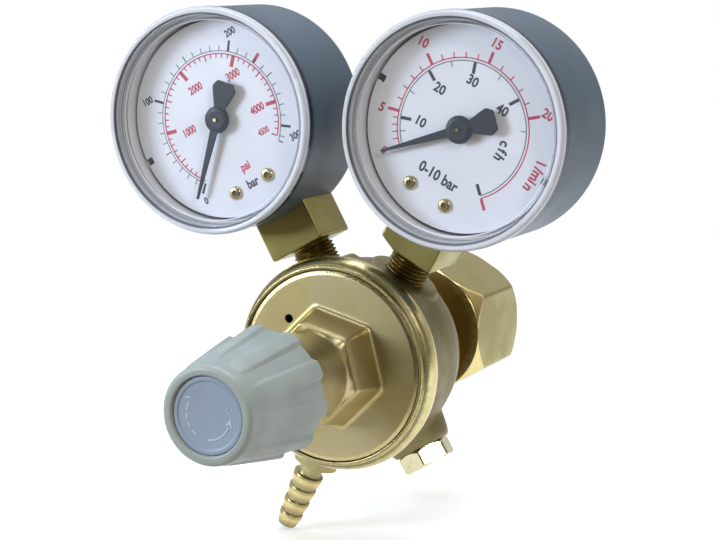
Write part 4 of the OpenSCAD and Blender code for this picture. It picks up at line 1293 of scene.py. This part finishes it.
@dataclass
class InletNipple:
    """The nipple: a hexagon collar, a neck and a flange that carries the seal."""

    width: float = 22.0
    low: float = -33.7
    high: float = -27.7
    columns: int = 240
    spigot: tuple[Pair, ...] = ((7.0, -41.5), (7.0, low - 1.05), (6.5, low - 1.0), (6.5, low))
    neck: tuple[Triple, ...] = (
        (8.4, high, 0), (7.4, high, 0.4), (6.4, high + 1.2, 1.0), (6.4, -7.4, 0.5), (7.2, -6.6, 0.2),
        (9.1, -6.6, 0.25), (9.1, -0.6, 0.4), (8.2, -0.6, 0),
    )
    bores: tuple[Pair, ...] = (
        (8.2, -1.8), (4.3, -1.8), (4.3, -0.6), (3.2, -0.6), (3.2, -11.8), (2.0, -11.8), (2.0, -36.9),
        (3.3, -36.9), (3.3, -41.5),
    )

    def build(self) -> None:
        """Makes the nipple as one ring of rows."""
        radii, heights = stacked(
            self.columns,
            np.array(self.spigot),
            hexagon_bar(self.columns, self.width, (self.low, self.high), (1.2, 10, 2)),
            rounded(self.neck),
            np.array(self.bores),
        )
        # Painted shade over the whole nipple, which sits in shadow between body and nut, deepest on its neck
        # and bores; polish on the collar's corners.
        marks = {"polish": 0.6 * ease(11.6, 12.4, radii), "stain": np.where(radii < 8.0, 0.35, 0.1)}
        shell = closed_ring(Placement.along_axis(), radii, heights, **marks)
        make_piece("inlet_nipple_skin", shell, Finishes.turned, node="inlet_nipple")


@dataclass
class HoseTail:
    """The barbed hose tail, screwed into the lower left boss."""

    lean: float = 205.0
    station: float = -44.0
    root: float = 16.5
    boss: float = 24.4
    hexagon_width: float = 10.0
    hexagon_length: float = 4.6
    tip: float = 46.2
    barbs: int = 4
    pitch: float = 3.5
    largest: float = 3.5
    shrink: float = 0.25
    barb_depth: float = 0.65
    bore: float = 1.6
    columns: int = 96

    def stem(self) -> Array:
        """Draws the neck and the barbs, which each rise sharply, run level and fall away.

        Returns:
            Points of (radius, distance from the main axis).
        """
        top, first = self.boss + self.hexagon_length, self.tip - self.barbs * self.pitch
        corners = [(3.6, top, 0.0), (2.75, top, 0.3), (2.7, first, 0.15)]
        for number in range(self.barbs):
            radius, start = self.largest - self.shrink * number, first + number * self.pitch
            corners += [
                (radius - 0.02, start + 0.02, 0.22),
                (radius, start + 1.2, 0.5),
                (radius - self.barb_depth, start + self.pitch, 0.12),
            ]
        corners[-1] = (corners[-1][0], self.tip, 0.25)
        return rounded(corners + [(self.bore + 0.35, self.tip, 0.1), (self.bore, self.tip - 0.35, 0)])

    def build(self) -> None:
        """Makes the tail, polished on its barbs, with painted shade in the step between barbs, where the
        shadow of each barb falls.
        """
        hexagon_ends = (self.boss + 0.02, self.boss + self.hexagon_length)
        radii, heights = stacked(
            self.columns,
            screw(self.columns, (self.root, self.boss - 0.5), 50, 3.98, 0.5, 1.34),
            hexagon_bar(self.columns, self.hexagon_width, hexagon_ends, (0.6, 7, 2), 30),
            self.stem(),
            np.array([(self.bore, self.root)]),
        )
        along = heights - (self.tip - self.barbs * self.pitch)
        on_barb = along % self.pitch
        worn = 0.8 * ease(0.1, 0.5, on_barb) * ease(2.4, 1.2, on_barb)
        # Painted shade: dark bands in the step between barbs, under each barb's overhang.
        dark = 0.5 * ease(2.9, 3.45, on_barb) + 0.4 * ease(0.25, 0.0, on_barb)
        polish = np.where(along > 0, worn, 0.2)
        stain = np.clip(np.where((along > 0) & (radii > 2), dark, 0.05), 0, 1)
        placement = Placement.on_radius(self.lean, self.station)
        shell = closed_ring(placement, radii, heights, polish=polish, stain=stain)
        make_piece("hose_tail_skin", shell, Finishes.turned, node="hose_tail")


@dataclass
class ReliefValve:
    """The relief valve's hexagon with its turned end and vent."""

    lean: float = 149.0
    station: float = -39.4
    root: float = 19.6
    boss: float = 24.9
    length: float = 4.0
    width: float = 11.0
    turn: float = 47.0
    columns: int = 144

    def build(self) -> None:
        """Makes the housing as one ring of rows."""
        end = self.boss + self.length
        inside = rounded([
            (4.6, end, 0), (1.35, end, 0.1), (1.0, end - 0.35, 0.1), (1.0, end - 1.2, 0),
            (2.4, end - 1.2, 0), (2.4, self.root, 0),
        ], steps=3)
        radii, heights = stacked(
            self.columns,
            screw(self.columns, (self.root, self.boss - 0.3), 40, 3.58, 0.45, 1.0),
            hexagon_bar(self.columns, self.width, (self.boss, end), (0.7, 8, 2), self.turn),
            inside,
        )
        # Painted shade in the vent bore; polish on the hexagon and its end.
        marks = {"polish": np.where(radii > 3.7, 0.75, 0.1), "stain": np.where(radii < 2.5, 0.5, 0.0)}
        shell = closed_ring(Placement.on_radius(self.lean, self.station), radii, heights, **marks)
        make_piece("relief_housing_skin", shell, Finishes.relief, node="relief_housing")


@dataclass(frozen=True)
class Scale:
    """Which angle, clockwise from the top in degrees, each value of a scale has."""

    values: tuple[float, ...]
    angles: tuple[float, ...]

    def at(self, values: Sequence[float] | Array) -> Array:
        """Returns the angles of values, on straight lines between the known ones."""
        return np.interp(values, self.values, self.angles)

    def minor(self, step: int, major: int, last: int) -> Array:
        """Returns the angles of every step up to the last that isn't a major one."""
        ticks = np.arange(0, last + 1, step)
        return self.at(ticks[ticks % major != 0])


@dataclass
class DialPrint:
    """What is printed on a dial: strokes, arcs and writing in each ink, on one level."""

    level: float
    thickness: float = 0.035
    inks: dict[str, list[Shell]] = field(default_factory=dict)

    @property
    def span(self) -> Pair:
        """Levels of the print's back and front."""
        return self.level - 0.01, self.level + self.thickness

    def add(self, ink: str, shell: Shell) -> None:
        """Keeps a shell with the others of its ink."""
        self.inks.setdefault(ink, []).append(shell)

    def strokes(self, ink: str, angles: Array, inner: float, outer: float, width: float) -> None:
        """Adds strokes of a scale.

        Args:
            ink: what they are printed in.
            angles: their angles clockwise from the top, in degrees.
            inner: radius at which they start.
            outer: radius at which they end.
            width: their width.
        """
        middle, a = (inner + outer) / 2, np.radians(angles)
        places = np.stack([middle * np.sin(a), middle * np.cos(a), 90 - angles], -1)
        self.add(ink, bars(places, (outer - inner) / 2, width / 2, *self.span))

    def arc(self, ink: str, radius: float, width: float, start: float, end: float) -> None:
        """Adds a thin arc between two angles clockwise from the top."""
        self.add(ink, sector(radius, width, 90 - start, 90 - end, *self.span))

    def write(
        self, ink: str, text: str, height: float, angle: float, radius: float, turn: float, squeeze: float
    ) -> None:
        """Adds writing.

        Args:
            ink: what it is printed in.
            text: what is written.
            height: height of a capital.
            angle: angle of its middle clockwise from the top, in degrees.
            radius: radius of its middle.
            turn: its own turn against the clock, in degrees.
            squeeze: its width as a share of the plain letter's.
        """
        (low, high), a = self.span, math.radians(angle)
        spot = (radius * math.sin(a), radius * math.cos(a), low)
        self.add(ink, lettering(text, height, squeeze).placed(Placement.spun(turn, spot, high - low)))

    def upright(self, ink: str, height: float, squeeze: float, places: dict[str, Pair]) -> None:
        """Adds upright numbers or units, each at its angle and radius."""
        for text, (angle, radius) in places.items():
            self.write(ink, text, height, angle, radius, 0.0, squeeze)

    def write_round(
        self, ink: str, text: str, height: float, angle: float, radius: float, step: float
    ) -> None:
        """Adds writing that runs clockwise along a circle.

        Args:
            ink: what it is printed in.
            text: what is written.
            height: height of a capital.
            angle: angle of its middle clockwise from the top, in degrees.
            radius: radius of the circle.
            step: degrees between its letters.
        """
        first = angle - step * (len(text) - 1) / 2
        for number, letter in enumerate(text):
            at = first + step * number
            self.write(ink, letter, height, at, radius, -at, 0.9)


def contents_print(level: float) -> DialPrint:
    """Draws the contents scale: 0 to 315 bar outside and 0 to 4500 psi inside, over 270 degrees.

    Args:
        level: where the dial's face is.

    Returns:
        The print, which sizes its strokes and numbers from the dial's middle.
    """
    sheet = DialPrint(level)
    bar = Scale((0, 315), (-135, 135))
    psi = Scale((0, 315 * 14.504), (-135, 135))
    sheet.arc("grey", 15.05, 0.2, -135, 135)
    sheet.arc("red", 14.45, 0.26, -135, 131)
    sheet.strokes("grey", bar.minor(10, 50, 315), 15.1, 16.3, 0.22)
    sheet.strokes("black", bar.at([50, 150, 250]), 15.1, 16.7, 0.22)
    sheet.strokes("black", bar.at([0, 100, 200, 300]), 15.1, 17.5, 0.55)
    sheet.strokes("black", bar.at([315]), 15.1, 16.2, 0.25)
    sheet.strokes("red", bar.at([230]), 15.2, 17.5, 0.75)
    sheet.strokes("red", psi.minor(100, 500, 4500), 13.5, 14.4, 0.26)
    sheet.strokes("red", psi.at([500, 1500, 2500, 3500, 4500]), 13.0, 14.4, 0.3)
    sheet.strokes("red", psi.at([1000, 2000, 3000, 4000]), 11.9, 14.4, 0.85)
    hundreds = {"0": (-139, 18.9), "100": (-51.5, 19.2), "200": (36.5, 19.3), "300": (128, 18.9)}
    thousands = {"1000": (-82, 8.7), "2000": (-15.5, 9.1), "3000": (47, 10.3), "4000": (103.5, 9.6)}
    sheet.upright("black", 1.55, 0.82, hundreds)
    sheet.upright("red", 1.75, 0.72, thousands)
    sheet.upright("red", 1.4, 0.72, {"4500": (131, 11.0)})
    sheet.upright("red", 1.9, 0.8, {"psi": (178, 11.9)})
    sheet.upright("black", 2.0, 0.8, {"bar": (179, 15.9)})
    return sheet


def flow_print(level: float) -> DialPrint:
    """Draws the flow scale: l/min outside in red and cfh inside in black.

    Args:
        level: where the dial's face is.

    Returns:
        The print, which sizes its strokes and numbers from the dial's middle.
    """
    sheet = DialPrint(level)
    litres = Scale((0, 5, 10, 15, 20, 25), (-134, -106, -56.5, -6, 50.5, 134))
    feet = Scale((0, 10, 20, 30, 40, 45, 50), (-134, -111, -61.5, -17.5, 33.5, 61, 134))
    sheet.arc("red", 14.9, 0.26, -134, 134)
    sheet.arc("grey", 14.3, 0.24, -134, 134)
    sheet.strokes("red", litres.minor(1, 5, 20), 14.95, 16.1, 0.26)
    sheet.strokes("red", litres.at([5, 10, 15, 20, 25]), 15.0, 17.5, 0.65)
    sheet.strokes("grey", feet.at([5, 15, 25, 35, 45]), 13.0, 14.25, 0.22)
    sheet.strokes("black", feet.at([10, 20, 30, 40, 50]), 11.8, 14.2, 0.7)
    fives = {"5": (-107, 19.0), "10": (-56, 20.0), "15": (-6, 19.2), "20": (50.5, 19.2)}
    tens = {"10": (-112, 9.7), "20": (-61.5, 9.7), "30": (-16.5, 10.2), "40": (36, 9.8)}
    sheet.upright("red", 2.0, 0.9, fives)
    sheet.upright("black", 2.05, 0.9, tens)
    sheet.upright("red", 1.7, 0.9, {"0": (-135, 18.8)})
    sheet.write_round("black", "cfh", 2.2, 86, 9.8, 9.2)
    sheet.write_round("red", "l/min", 2.2, 90, 18.6, 4.5)
    sheet.upright("black", 2.3, 0.86, {"0-10 bar": (179, 11.6)})
    return sheet


@dataclass
class Gauge:
    """One gauge: case, window, dial print, screws, pointer and the stem block below."""

    name: str
    lean: float
    block_cut: bool
    reach: float = 59.8
    front: float = -61.0
    stem_z: float = -17.4
    dial_face: float = -5.0
    pointer_level: float = -3.4
    pointer_turn: float = -135.0
    case_radius: float = 24.8
    case_lip: float = -1.0
    depth: float = 27.0
    wall: float = 1.6
    block: float = 13.8
    block_foot: float = -33.0
    block_head: float = -20.7
    screw_places: tuple[Pair, ...] = ((-4.6, -16.0), (4.6, -16.0))
    window_corners: tuple[Triple, ...] = (
        (0.5, -1.8, 0), (0.5, -0.62, 0), (22.0, -0.62, 0.5), (22.5, 0.2, 0.4), (22.6, 1.0, 0.1),
        (22.95, 1.15, 0.08), (23.05, 1.5, 0.1), (23.35, 1.45, 0.08), (23.55, 1.95, 0.15), (24.45, 2.05, 0.35),
        (24.95, 1.1, 0.4), (25.0, -0.95, 0.12), (24.1, -1.0, 0), (24.1, -2.4, 0), (22.6, -2.4, 0),
        (22.5, -1.8, 0.1), (20.6, -1.8, 0),
    )

    def piece(
        self,
        part: str,
        shell: Shell,
        finish: Finish,
        sharp: float = 34.0,
        body: str = "root",
        joins: Sequence[Shell] = (),
        cuts: Sequence[Shell] = (),
    ) -> None:
        """Makes the piece that stands for a part's node.

        Args:
            part: the node's name without the gauge's.
            shell: its skin in the gauge's frame.
            finish: what it is made of.
            sharp: edges that turn by more than this many degrees stay sharp.
            body: the body that carries it.
            joins: closed shells in that frame that are made one with it.
            cuts: closed shells in that frame that are then taken out of it.
        """
        frame, node = Placement.facing(self.lean, self.reach, self.front), f"{self.name}_{part}"
        joins, cuts = [join.placed(frame) for join in joins], [cut.placed(frame) for cut in cuts]
        shell = shell.placed(frame)
        make_piece(f"{node}_skin", shell, finish, body, node, sharp=sharp, joins=joins, cuts=cuts)

    def build(self, sheet: DialPrint) -> None:
        """Makes every visible piece of the gauge.

        Args:
            sheet: what is printed on its dial.
        """
        self.build_case()
        self.build_window()
        self.build_print(sheet)
        self.build_screws()
        self.build_pointer()
        self.build_socket()

    def build_case(self) -> None:
        """Makes the case: a deep pressed cup with a rounded back and a slot for the stem block."""
        back, lip, inside = -self.depth, self.case_lip, self.wall - self.depth
        outer = rounded([
            (0.6, back, 0), (22.0, back, 3.2), (self.case_radius, back + 2.4, 2.2),
            (self.case_radius, lip, 0.45), (24.15, lip, 0.1), (24.15, -2.5, 0), (22.6, -2.5, 0.15),
            (22.6, inside, 1.2), (0.6, inside, 0),
        ], steps=6)
        outer = np.concatenate([outer[:1], resampled(outer[1:-1], 0.6), outer[-1:]])
        radius, height = outer[:, :1], outer[:, 1:]
        # Painted light on the inner wall, for the light from the clear window, and painted shade along the
        # rolled lip.
        lining = ((radius < 22.8) & (height > -20.0)).astype(float)
        rolled = ease(lip - 1.3, lip - 0.6, height) * (radius > 24.0)
        shell = turned_solid(outer, [(0.6, back), (0.6, inside)], 192, lining=lining, rolled=rolled)
        half = self.block / 2 + 0.05
        slot = np.array([[[-half, -40.0], [half, -40.0], [half, -10.0], [-half, -10.0]]])
        cuts = [boxes(slot, self.stem_z - half, self.stem_z + half)]
        self.piece("case", shell, Finishes.case, cuts=cuts)

    def build_window(self) -> None:
        """Makes the window: a flat lens in a rim of three steps, whose skirt runs back to the case.

        Painted dark lines stand for reflections and shadow: three streaks on its wall, two fine lines on its
        top and one on its skirt towards the case. Each line is a bell curve of the distance from its middle;
        a pale band on the wall is painted glare.
        """
        outline = rounded(self.window_corners)
        rim = np.flatnonzero(outline[:, 0] >= 21.5)[0]
        profile = np.concatenate([resampled(outline[:rim], 1.5)[:-1], resampled(outline[rim:], 0.11)])
        radius, height = profile[:, :1], profile[:, 1:]
        top = height > 1.2
        # Painted reflections and shadow as dark lines, and painted glare as a pale band on the wall.
        step, brim = (radius - 23.36) / 0.3, (radius - 24.85) / 0.2
        lines = 0.85 * np.exp(-(step**4)) + 0.35 * np.exp(-(brim**2))
        wall = (radius < 23.1) & (radius > 21.9) & (height > -0.62)
        stripes = ((0.95, 0.14, 0.8), (0.35, 0.22, 0.95), (-0.2, 0.12, 0.5))
        streaks = sum(depth * np.exp(-(((height - at) / width) ** 2)) for at, width, depth in stripes)
        skirt = ease(0.45, 0.15, height) * (radius > 24.6)
        groove = np.clip(lines * top + streaks * wall + skirt, 0, 1)
        veil = 0.8 * ease(23.0, 23.3, radius) + wall * (0.35 + 0.5 * np.exp(-(((height + 0.5) / 0.2) ** 2)))
        shell = turned_solid(profile, [(0.5, -1.8), (0.5, -0.62)], 256, veil=veil, groove=groove)
        self.piece("window", shell, Finishes.window)

    def build_print(self, sheet: DialPrint) -> None:
        """Makes the dial's print, a piece for each ink.

        Args:
            sheet: the print.
        """
        frame = Placement.facing(self.lean, self.reach, self.front)
        inks = {"black": Finishes.black, "grey": Finishes.grey, "red": Finishes.red}
        for ink, shells in sheet.inks.items():
            make_piece(f"{self.name}_dial_print_{ink}", merged(shells).placed(frame), inks[ink], sharp=32)

    def at_screws(self, shell: Shell, level: float = 0.0) -> list[Shell]:
        """Returns a shell moved to each of the dial's two screws."""
        return [replace(shell, points=shell.points + np.array([x, y, level])) for x, y in self.screw_places]

    def build_screws(self) -> None:
        """Makes the two dial screws: low domes with a dimple and a shank through the dial."""
        profile = rounded([
            (0.25, 0.52, 0), (0.62, 0.78, 0.2), (1.25, 0.72, 0.4), (1.55, 0.3, 0.2), (1.55, 0.0, 0.05),
            (0.7, 0.0, 0), (0.7, -4.4, 0),
        ])
        # Painted shade in the dimple.
        dimple = ease(1.0, 0.55, profile[:, :1]) * (profile[:, 1:] > 0.4)
        shells = self.at_screws(turned(profile, 40, stain=dimple), self.dial_face)
        self.piece("dial_screws", merged(shells), Finishes.gears, sharp=30)

    def build_pointer(self) -> None:
        """Makes the pointer: a tapered blade, a round hub and a fan-shaped tail, all with soft edges."""
        level = self.pointer_level
        edge = [(18.6, 0.26, 0.12), (1.5, 0.98, 0), (-1.8, 1.05, 1.5), (-7.1, 3.0, 1.2), (-8.6, 2.0, 0.7)]
        blade = rounded(edge + [(x, -y, size) for x, y, size in reversed(edge)], closed=True, steps=5)
        hub = rounded([
            (0.4, level + 0.8, 0), (1.9, level + 0.85, 0.2), (2.7, level + 0.75, 0.3),
            (2.98, level + 0.3, 0.25), (2.98, level - 0.2, 0.1), (0.4, level - 0.2, 0),
        ])
        shell = merged([plate(blade, level, level + 0.5, 0.12), turned(hub, 72, True)])
        shell = shell.placed(Placement.spun(self.pointer_turn))
        self.piece("pointer", shell, Finishes.pointer, sharp=30, body=f"{self.name}_hand")

    def build_socket(self) -> None:
        """Makes the square stem block with its column, its posts, its threaded stem and its gas way."""
        half, foot, head = self.block / 2, self.block_foot, self.block_head
        corners = [(-half, foot, 0.5), (half, foot, 0.5), (half, head, 0.5), (-half, head, 0.5)]
        if self.block_cut:
            corners = [(-half, foot + 1.6, 0.5), (-half + 4.1, foot, 0.5)] + corners[1:]
        outline = rounded(corners, closed=True)
        outline = resampled(np.concatenate([outline, outline[:1]]), 0.7)[:-1]
        block = plate(outline, self.stem_z - half, self.stem_z + half, 0.3)
        block.values.update(polish=np.zeros(len(block.points)), stain=np.zeros(len(block.points)))
        square = np.array([(-5.6, -21.6), (5.6, -21.6), (5.6, -12.6), (-5.6, -12.6)])
        column = plate(square, -21.3, -14.4, 0.1)
        radii, stations = screw(96, (-44.2, foot + 0.4), 110, 4.86, 0.52, 0.907)
        radii = radii + (4.2 - radii) * ease(-33.9, -33.3, stations)
        upright = Placement.along_axis((0, 0, self.stem_z))
        # Painted shade on the stem's thread, darkest in its roots.
        stem = skin(polar(radii, stations, turn_angles(96)), stain=0.45 + 0.5 * ease(4.75, 4.4, radii))
        posts = self.at_screws(bore(1.5, -14.8, self.dial_face - 0.5, 32))
        joins = [column, stem.placed(upright), *posts]
        cuts = [bore(1.2, -46.0, -15.0, 32).placed(upright)]
        self.piece("socket", block, Finishes.block, joins=joins, cuts=cuts)


# Nodes that keep their shape


def dress_nodes(nodes: dict[str, bpy.types.Object]) -> None:
    """Gives every node that keeps its shape the finish of its material.

    Args:
        nodes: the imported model's objects by their nodes' names.
    """
    wearers = {
        Finishes.gears: ["nozzle", "valve_poppet", "flow_orifice", "relief_poppet"],
        Finishes.plated: ["slip_ring", "pusher_disc", "spring_button", "adjusting_screw", "knob_screw"],
        Finishes.spring: ["closing_spring", "range_spring", "relief_spring"],
        Finishes.nylon: ["inlet_seal", "poppet_seat"],
        Finishes.fibre: ["nipple_gasket"],
        Finishes.bronze: ["inlet_filter"],
        Finishes.rubber: ["diaphragm"],
        Finishes.aluminium: ["diaphragm_plate"],
        Finishes.dial: [],
        Finishes.copper: [],
        Finishes.tube: [],
    }
    in_each_gauge = {
        Finishes.dial: ["dial"],
        Finishes.copper: ["stem_washer"],
        Finishes.tube: ["bourdon_tube"],
        Finishes.gears: ["tube_tip", "movement_frame", "sector_gear", "pinion"],
        Finishes.plated: ["frame_screws", "link"],
        Finishes.spring: ["hairspring"],
    }
    for finish, parts in in_each_gauge.items():
        wearers[finish] += [f"{gauge}_{part}" for gauge in ("contents", "flow") for part in parts]
    for finish, names in wearers.items():
        for name in names:
            node = nodes[name]
            node.data.materials.clear()
            node.data.materials.append(finish.material())
    LOG.info("%d nodes keep their shape", sum(len(names) for names in wearers.values()))


# Studio


@dataclass
class Studio:
    """A pale floor, soft lamps, a white surround and the camera, in metres."""

    azimuth: float = 26.3
    elevation: float = 9.06
    distance: float = 0.41826
    target: Triple = (0.00678, -0.06, 0.02165)
    focal: float = 1957.49
    image_width: int = 716
    sensor: float = 36.0
    floor_level: float = -0.0432
    floor_front: float = -0.145
    floor_radius: float = 0.9
    cool: Triple = (0.74, 0.85, 1.0)
    warm: tuple[float, float, float, float] = (1.0, 0.82, 0.52, 1)

    def build(self) -> None:
        """Makes the camera first, then the surround, the floor and the lamps."""
        bpy.context.scene.view_settings.view_transform = "Standard"
        self.build_camera()
        self.build_world()
        self.build_floor()
        self.build_lamp("key", (-0.44, -0.52, 0.17), (0.24, 0.24), 3.6, self.cool)
        self.build_lamp("spot", (0.68, -0.62, 0.50), (0.14, 0.20), 2.6)
        self.build_lamp("top", (0.0, 0.05, 0.85), (0.7, 0.7), 6.4, self.cool)

    def build_camera(self) -> None:
        """Looks at the target from the photograph's side."""
        a, e = math.radians(self.azimuth), math.radians(self.elevation)
        forward = Vector((-math.sin(a) * math.cos(e), math.cos(a) * math.cos(e), -math.sin(e)))
        camera = bpy.data.cameras.new("camera")
        camera.sensor_width = self.sensor
        camera.lens = self.focal * self.sensor / self.image_width
        camera.clip_start, camera.clip_end = 0.01, 50.0
        holder = bpy.data.objects.new("camera", camera)
        holder.location = Vector(self.target) - forward * self.distance
        holder.rotation_euler = forward.to_track_quat("-Z", "Y").to_euler()
        bpy.context.scene.collection.objects.link(holder)
        bpy.context.scene.camera = holder

    def build_world(self) -> None:
        """Lights softly and shows white to the camera.

        What metal and clear plastic see in it grows dark and warm in front of the object, and is dimmer
        in a band above the horizon.
        """
        world = bpy.data.worlds.new("studio")
        world.use_nodes = True
        bpy.context.scene.world = world
        recipe = Recipe(world.node_tree)
        way = recipe.add("ShaderNodeTexCoord", output="Generated")
        front, low = recipe.along(way, (0.44, -0.885, 0.157)), recipe.along(way, (0, 0, -1))
        camera = recipe.ray("Is Camera Ray")
        seen = recipe.ray("Is Glossy Ray").largest(recipe.ray("Is Transmission Ray"))
        ahead = front.clipped(-0.1, 0.7)
        band = low.clipped(0.12, -0.1) * (1.0 - low.clipped(-0.3, -0.6))
        surround = 1.0 - ahead * 0.95 - band * 0.5 * (1.0 - ahead)
        level = camera + (1.0 - camera) * (seen * surround + (1.0 - seen) * 0.4)
        warmth = front.clipped(-0.2, 0.7) * (1.0 - camera)
        background = world.node_tree.nodes["Background"]
        recipe.feed(background, {"Color": recipe.mix(warmth, (1, 1, 1, 1), self.warm), "Strength": level})

    def build_floor(self) -> None:
        """Lays a floor that keeps the shadow near the object and fades to white further out.

        It is a disc cut off straight just in front of the object, so that the brass sees the dark front
        of the surround below the horizon too.
        """
        mesh = bpy.data.meshes.new("floor")
        turn, radius = turn_angles(96)[0], self.floor_radius
        y = np.maximum(radius * np.sin(turn), self.floor_front)
        rim = np.stack([radius * np.cos(turn), y, np.full(96, self.floor_level)], -1)
        mesh.from_pydata(rim, [], [list(range(96))])
        floor = bpy.data.objects.new("floor", mesh)
        bpy.context.scene.collection.objects.link(floor)
        material = bpy.data.materials.new("floor_paper")
        material.use_nodes = True
        recipe = Recipe(material.node_tree)
        place = recipe.add("ShaderNodeTexCoord", output="Object")
        reach = recipe.add("ShaderNodeVectorMath", {"operation": "LENGTH"}, {0: place}, "Value")
        ahead = recipe.along(place, (0, -1, 0))
        away = reach.clipped(0.16, 0.5).largest(ahead.clipped(0.085, 0.14))
        seen = recipe.ray("Is Camera Ray").largest(recipe.ray("Is Glossy Ray"))
        seen = seen.largest(recipe.ray("Is Transmission Ray"))
        recipe.feed(material.node_tree.nodes["Principled BSDF"], {
            "Base Color": recipe.mix(away, (0.86, 0.86, 0.86, 1), (0.0, 0.0, 0.0, 1)),
            "Roughness": 1.0,
            "Specular IOR Level": 0.0,
            "Emission Color": (1, 1, 1, 1),
            "Emission Strength": seen * (0.36 + away * 0.64),
        })
        mesh.materials.append(material)

    def build_lamp(
        self, name: str, place: Triple, size: Pair, power: float, tint: Triple = (1, 1, 1)
    ) -> None:
        """Hangs a soft lamp that faces the object.

        Args:
            name: its name.
            place: where it hangs, in metres.
            size: its width and its height.
            power: its power in watts.
            tint: colour of its light.
        """
        lamp = bpy.data.lights.new(name, "AREA")
        lamp.shape = "RECTANGLE"
        lamp.size, lamp.size_y = size
        lamp.energy = power
        lamp.color = tint
        holder = bpy.data.objects.new(name, lamp)
        holder.location = place
        holder.rotation_euler = (Vector(self.target) - Vector(place)).to_track_quat("-Z", "Y").to_euler()
        holder.visible_camera = False
        bpy.context.scene.collection.objects.link(holder)


def main() -> None:
    """Builds the regulator's looks in order."""
    logging.basicConfig(level=logging.INFO, format="%(message)s")
    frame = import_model()
    Studio().build()
    dress_nodes(frame["nodes"])
    for part in (BodyForging(), Bonnet(), Knob(), InletNut(), InletNipple(), HoseTail(), ReliefValve()):
        part.build()
    Gauge("contents", -29.0, False).build(contents_print(-5.0))
    Gauge("flow", 29.0, True).build(flow_print(-5.0))


if __name__ == "__main__":
    main()
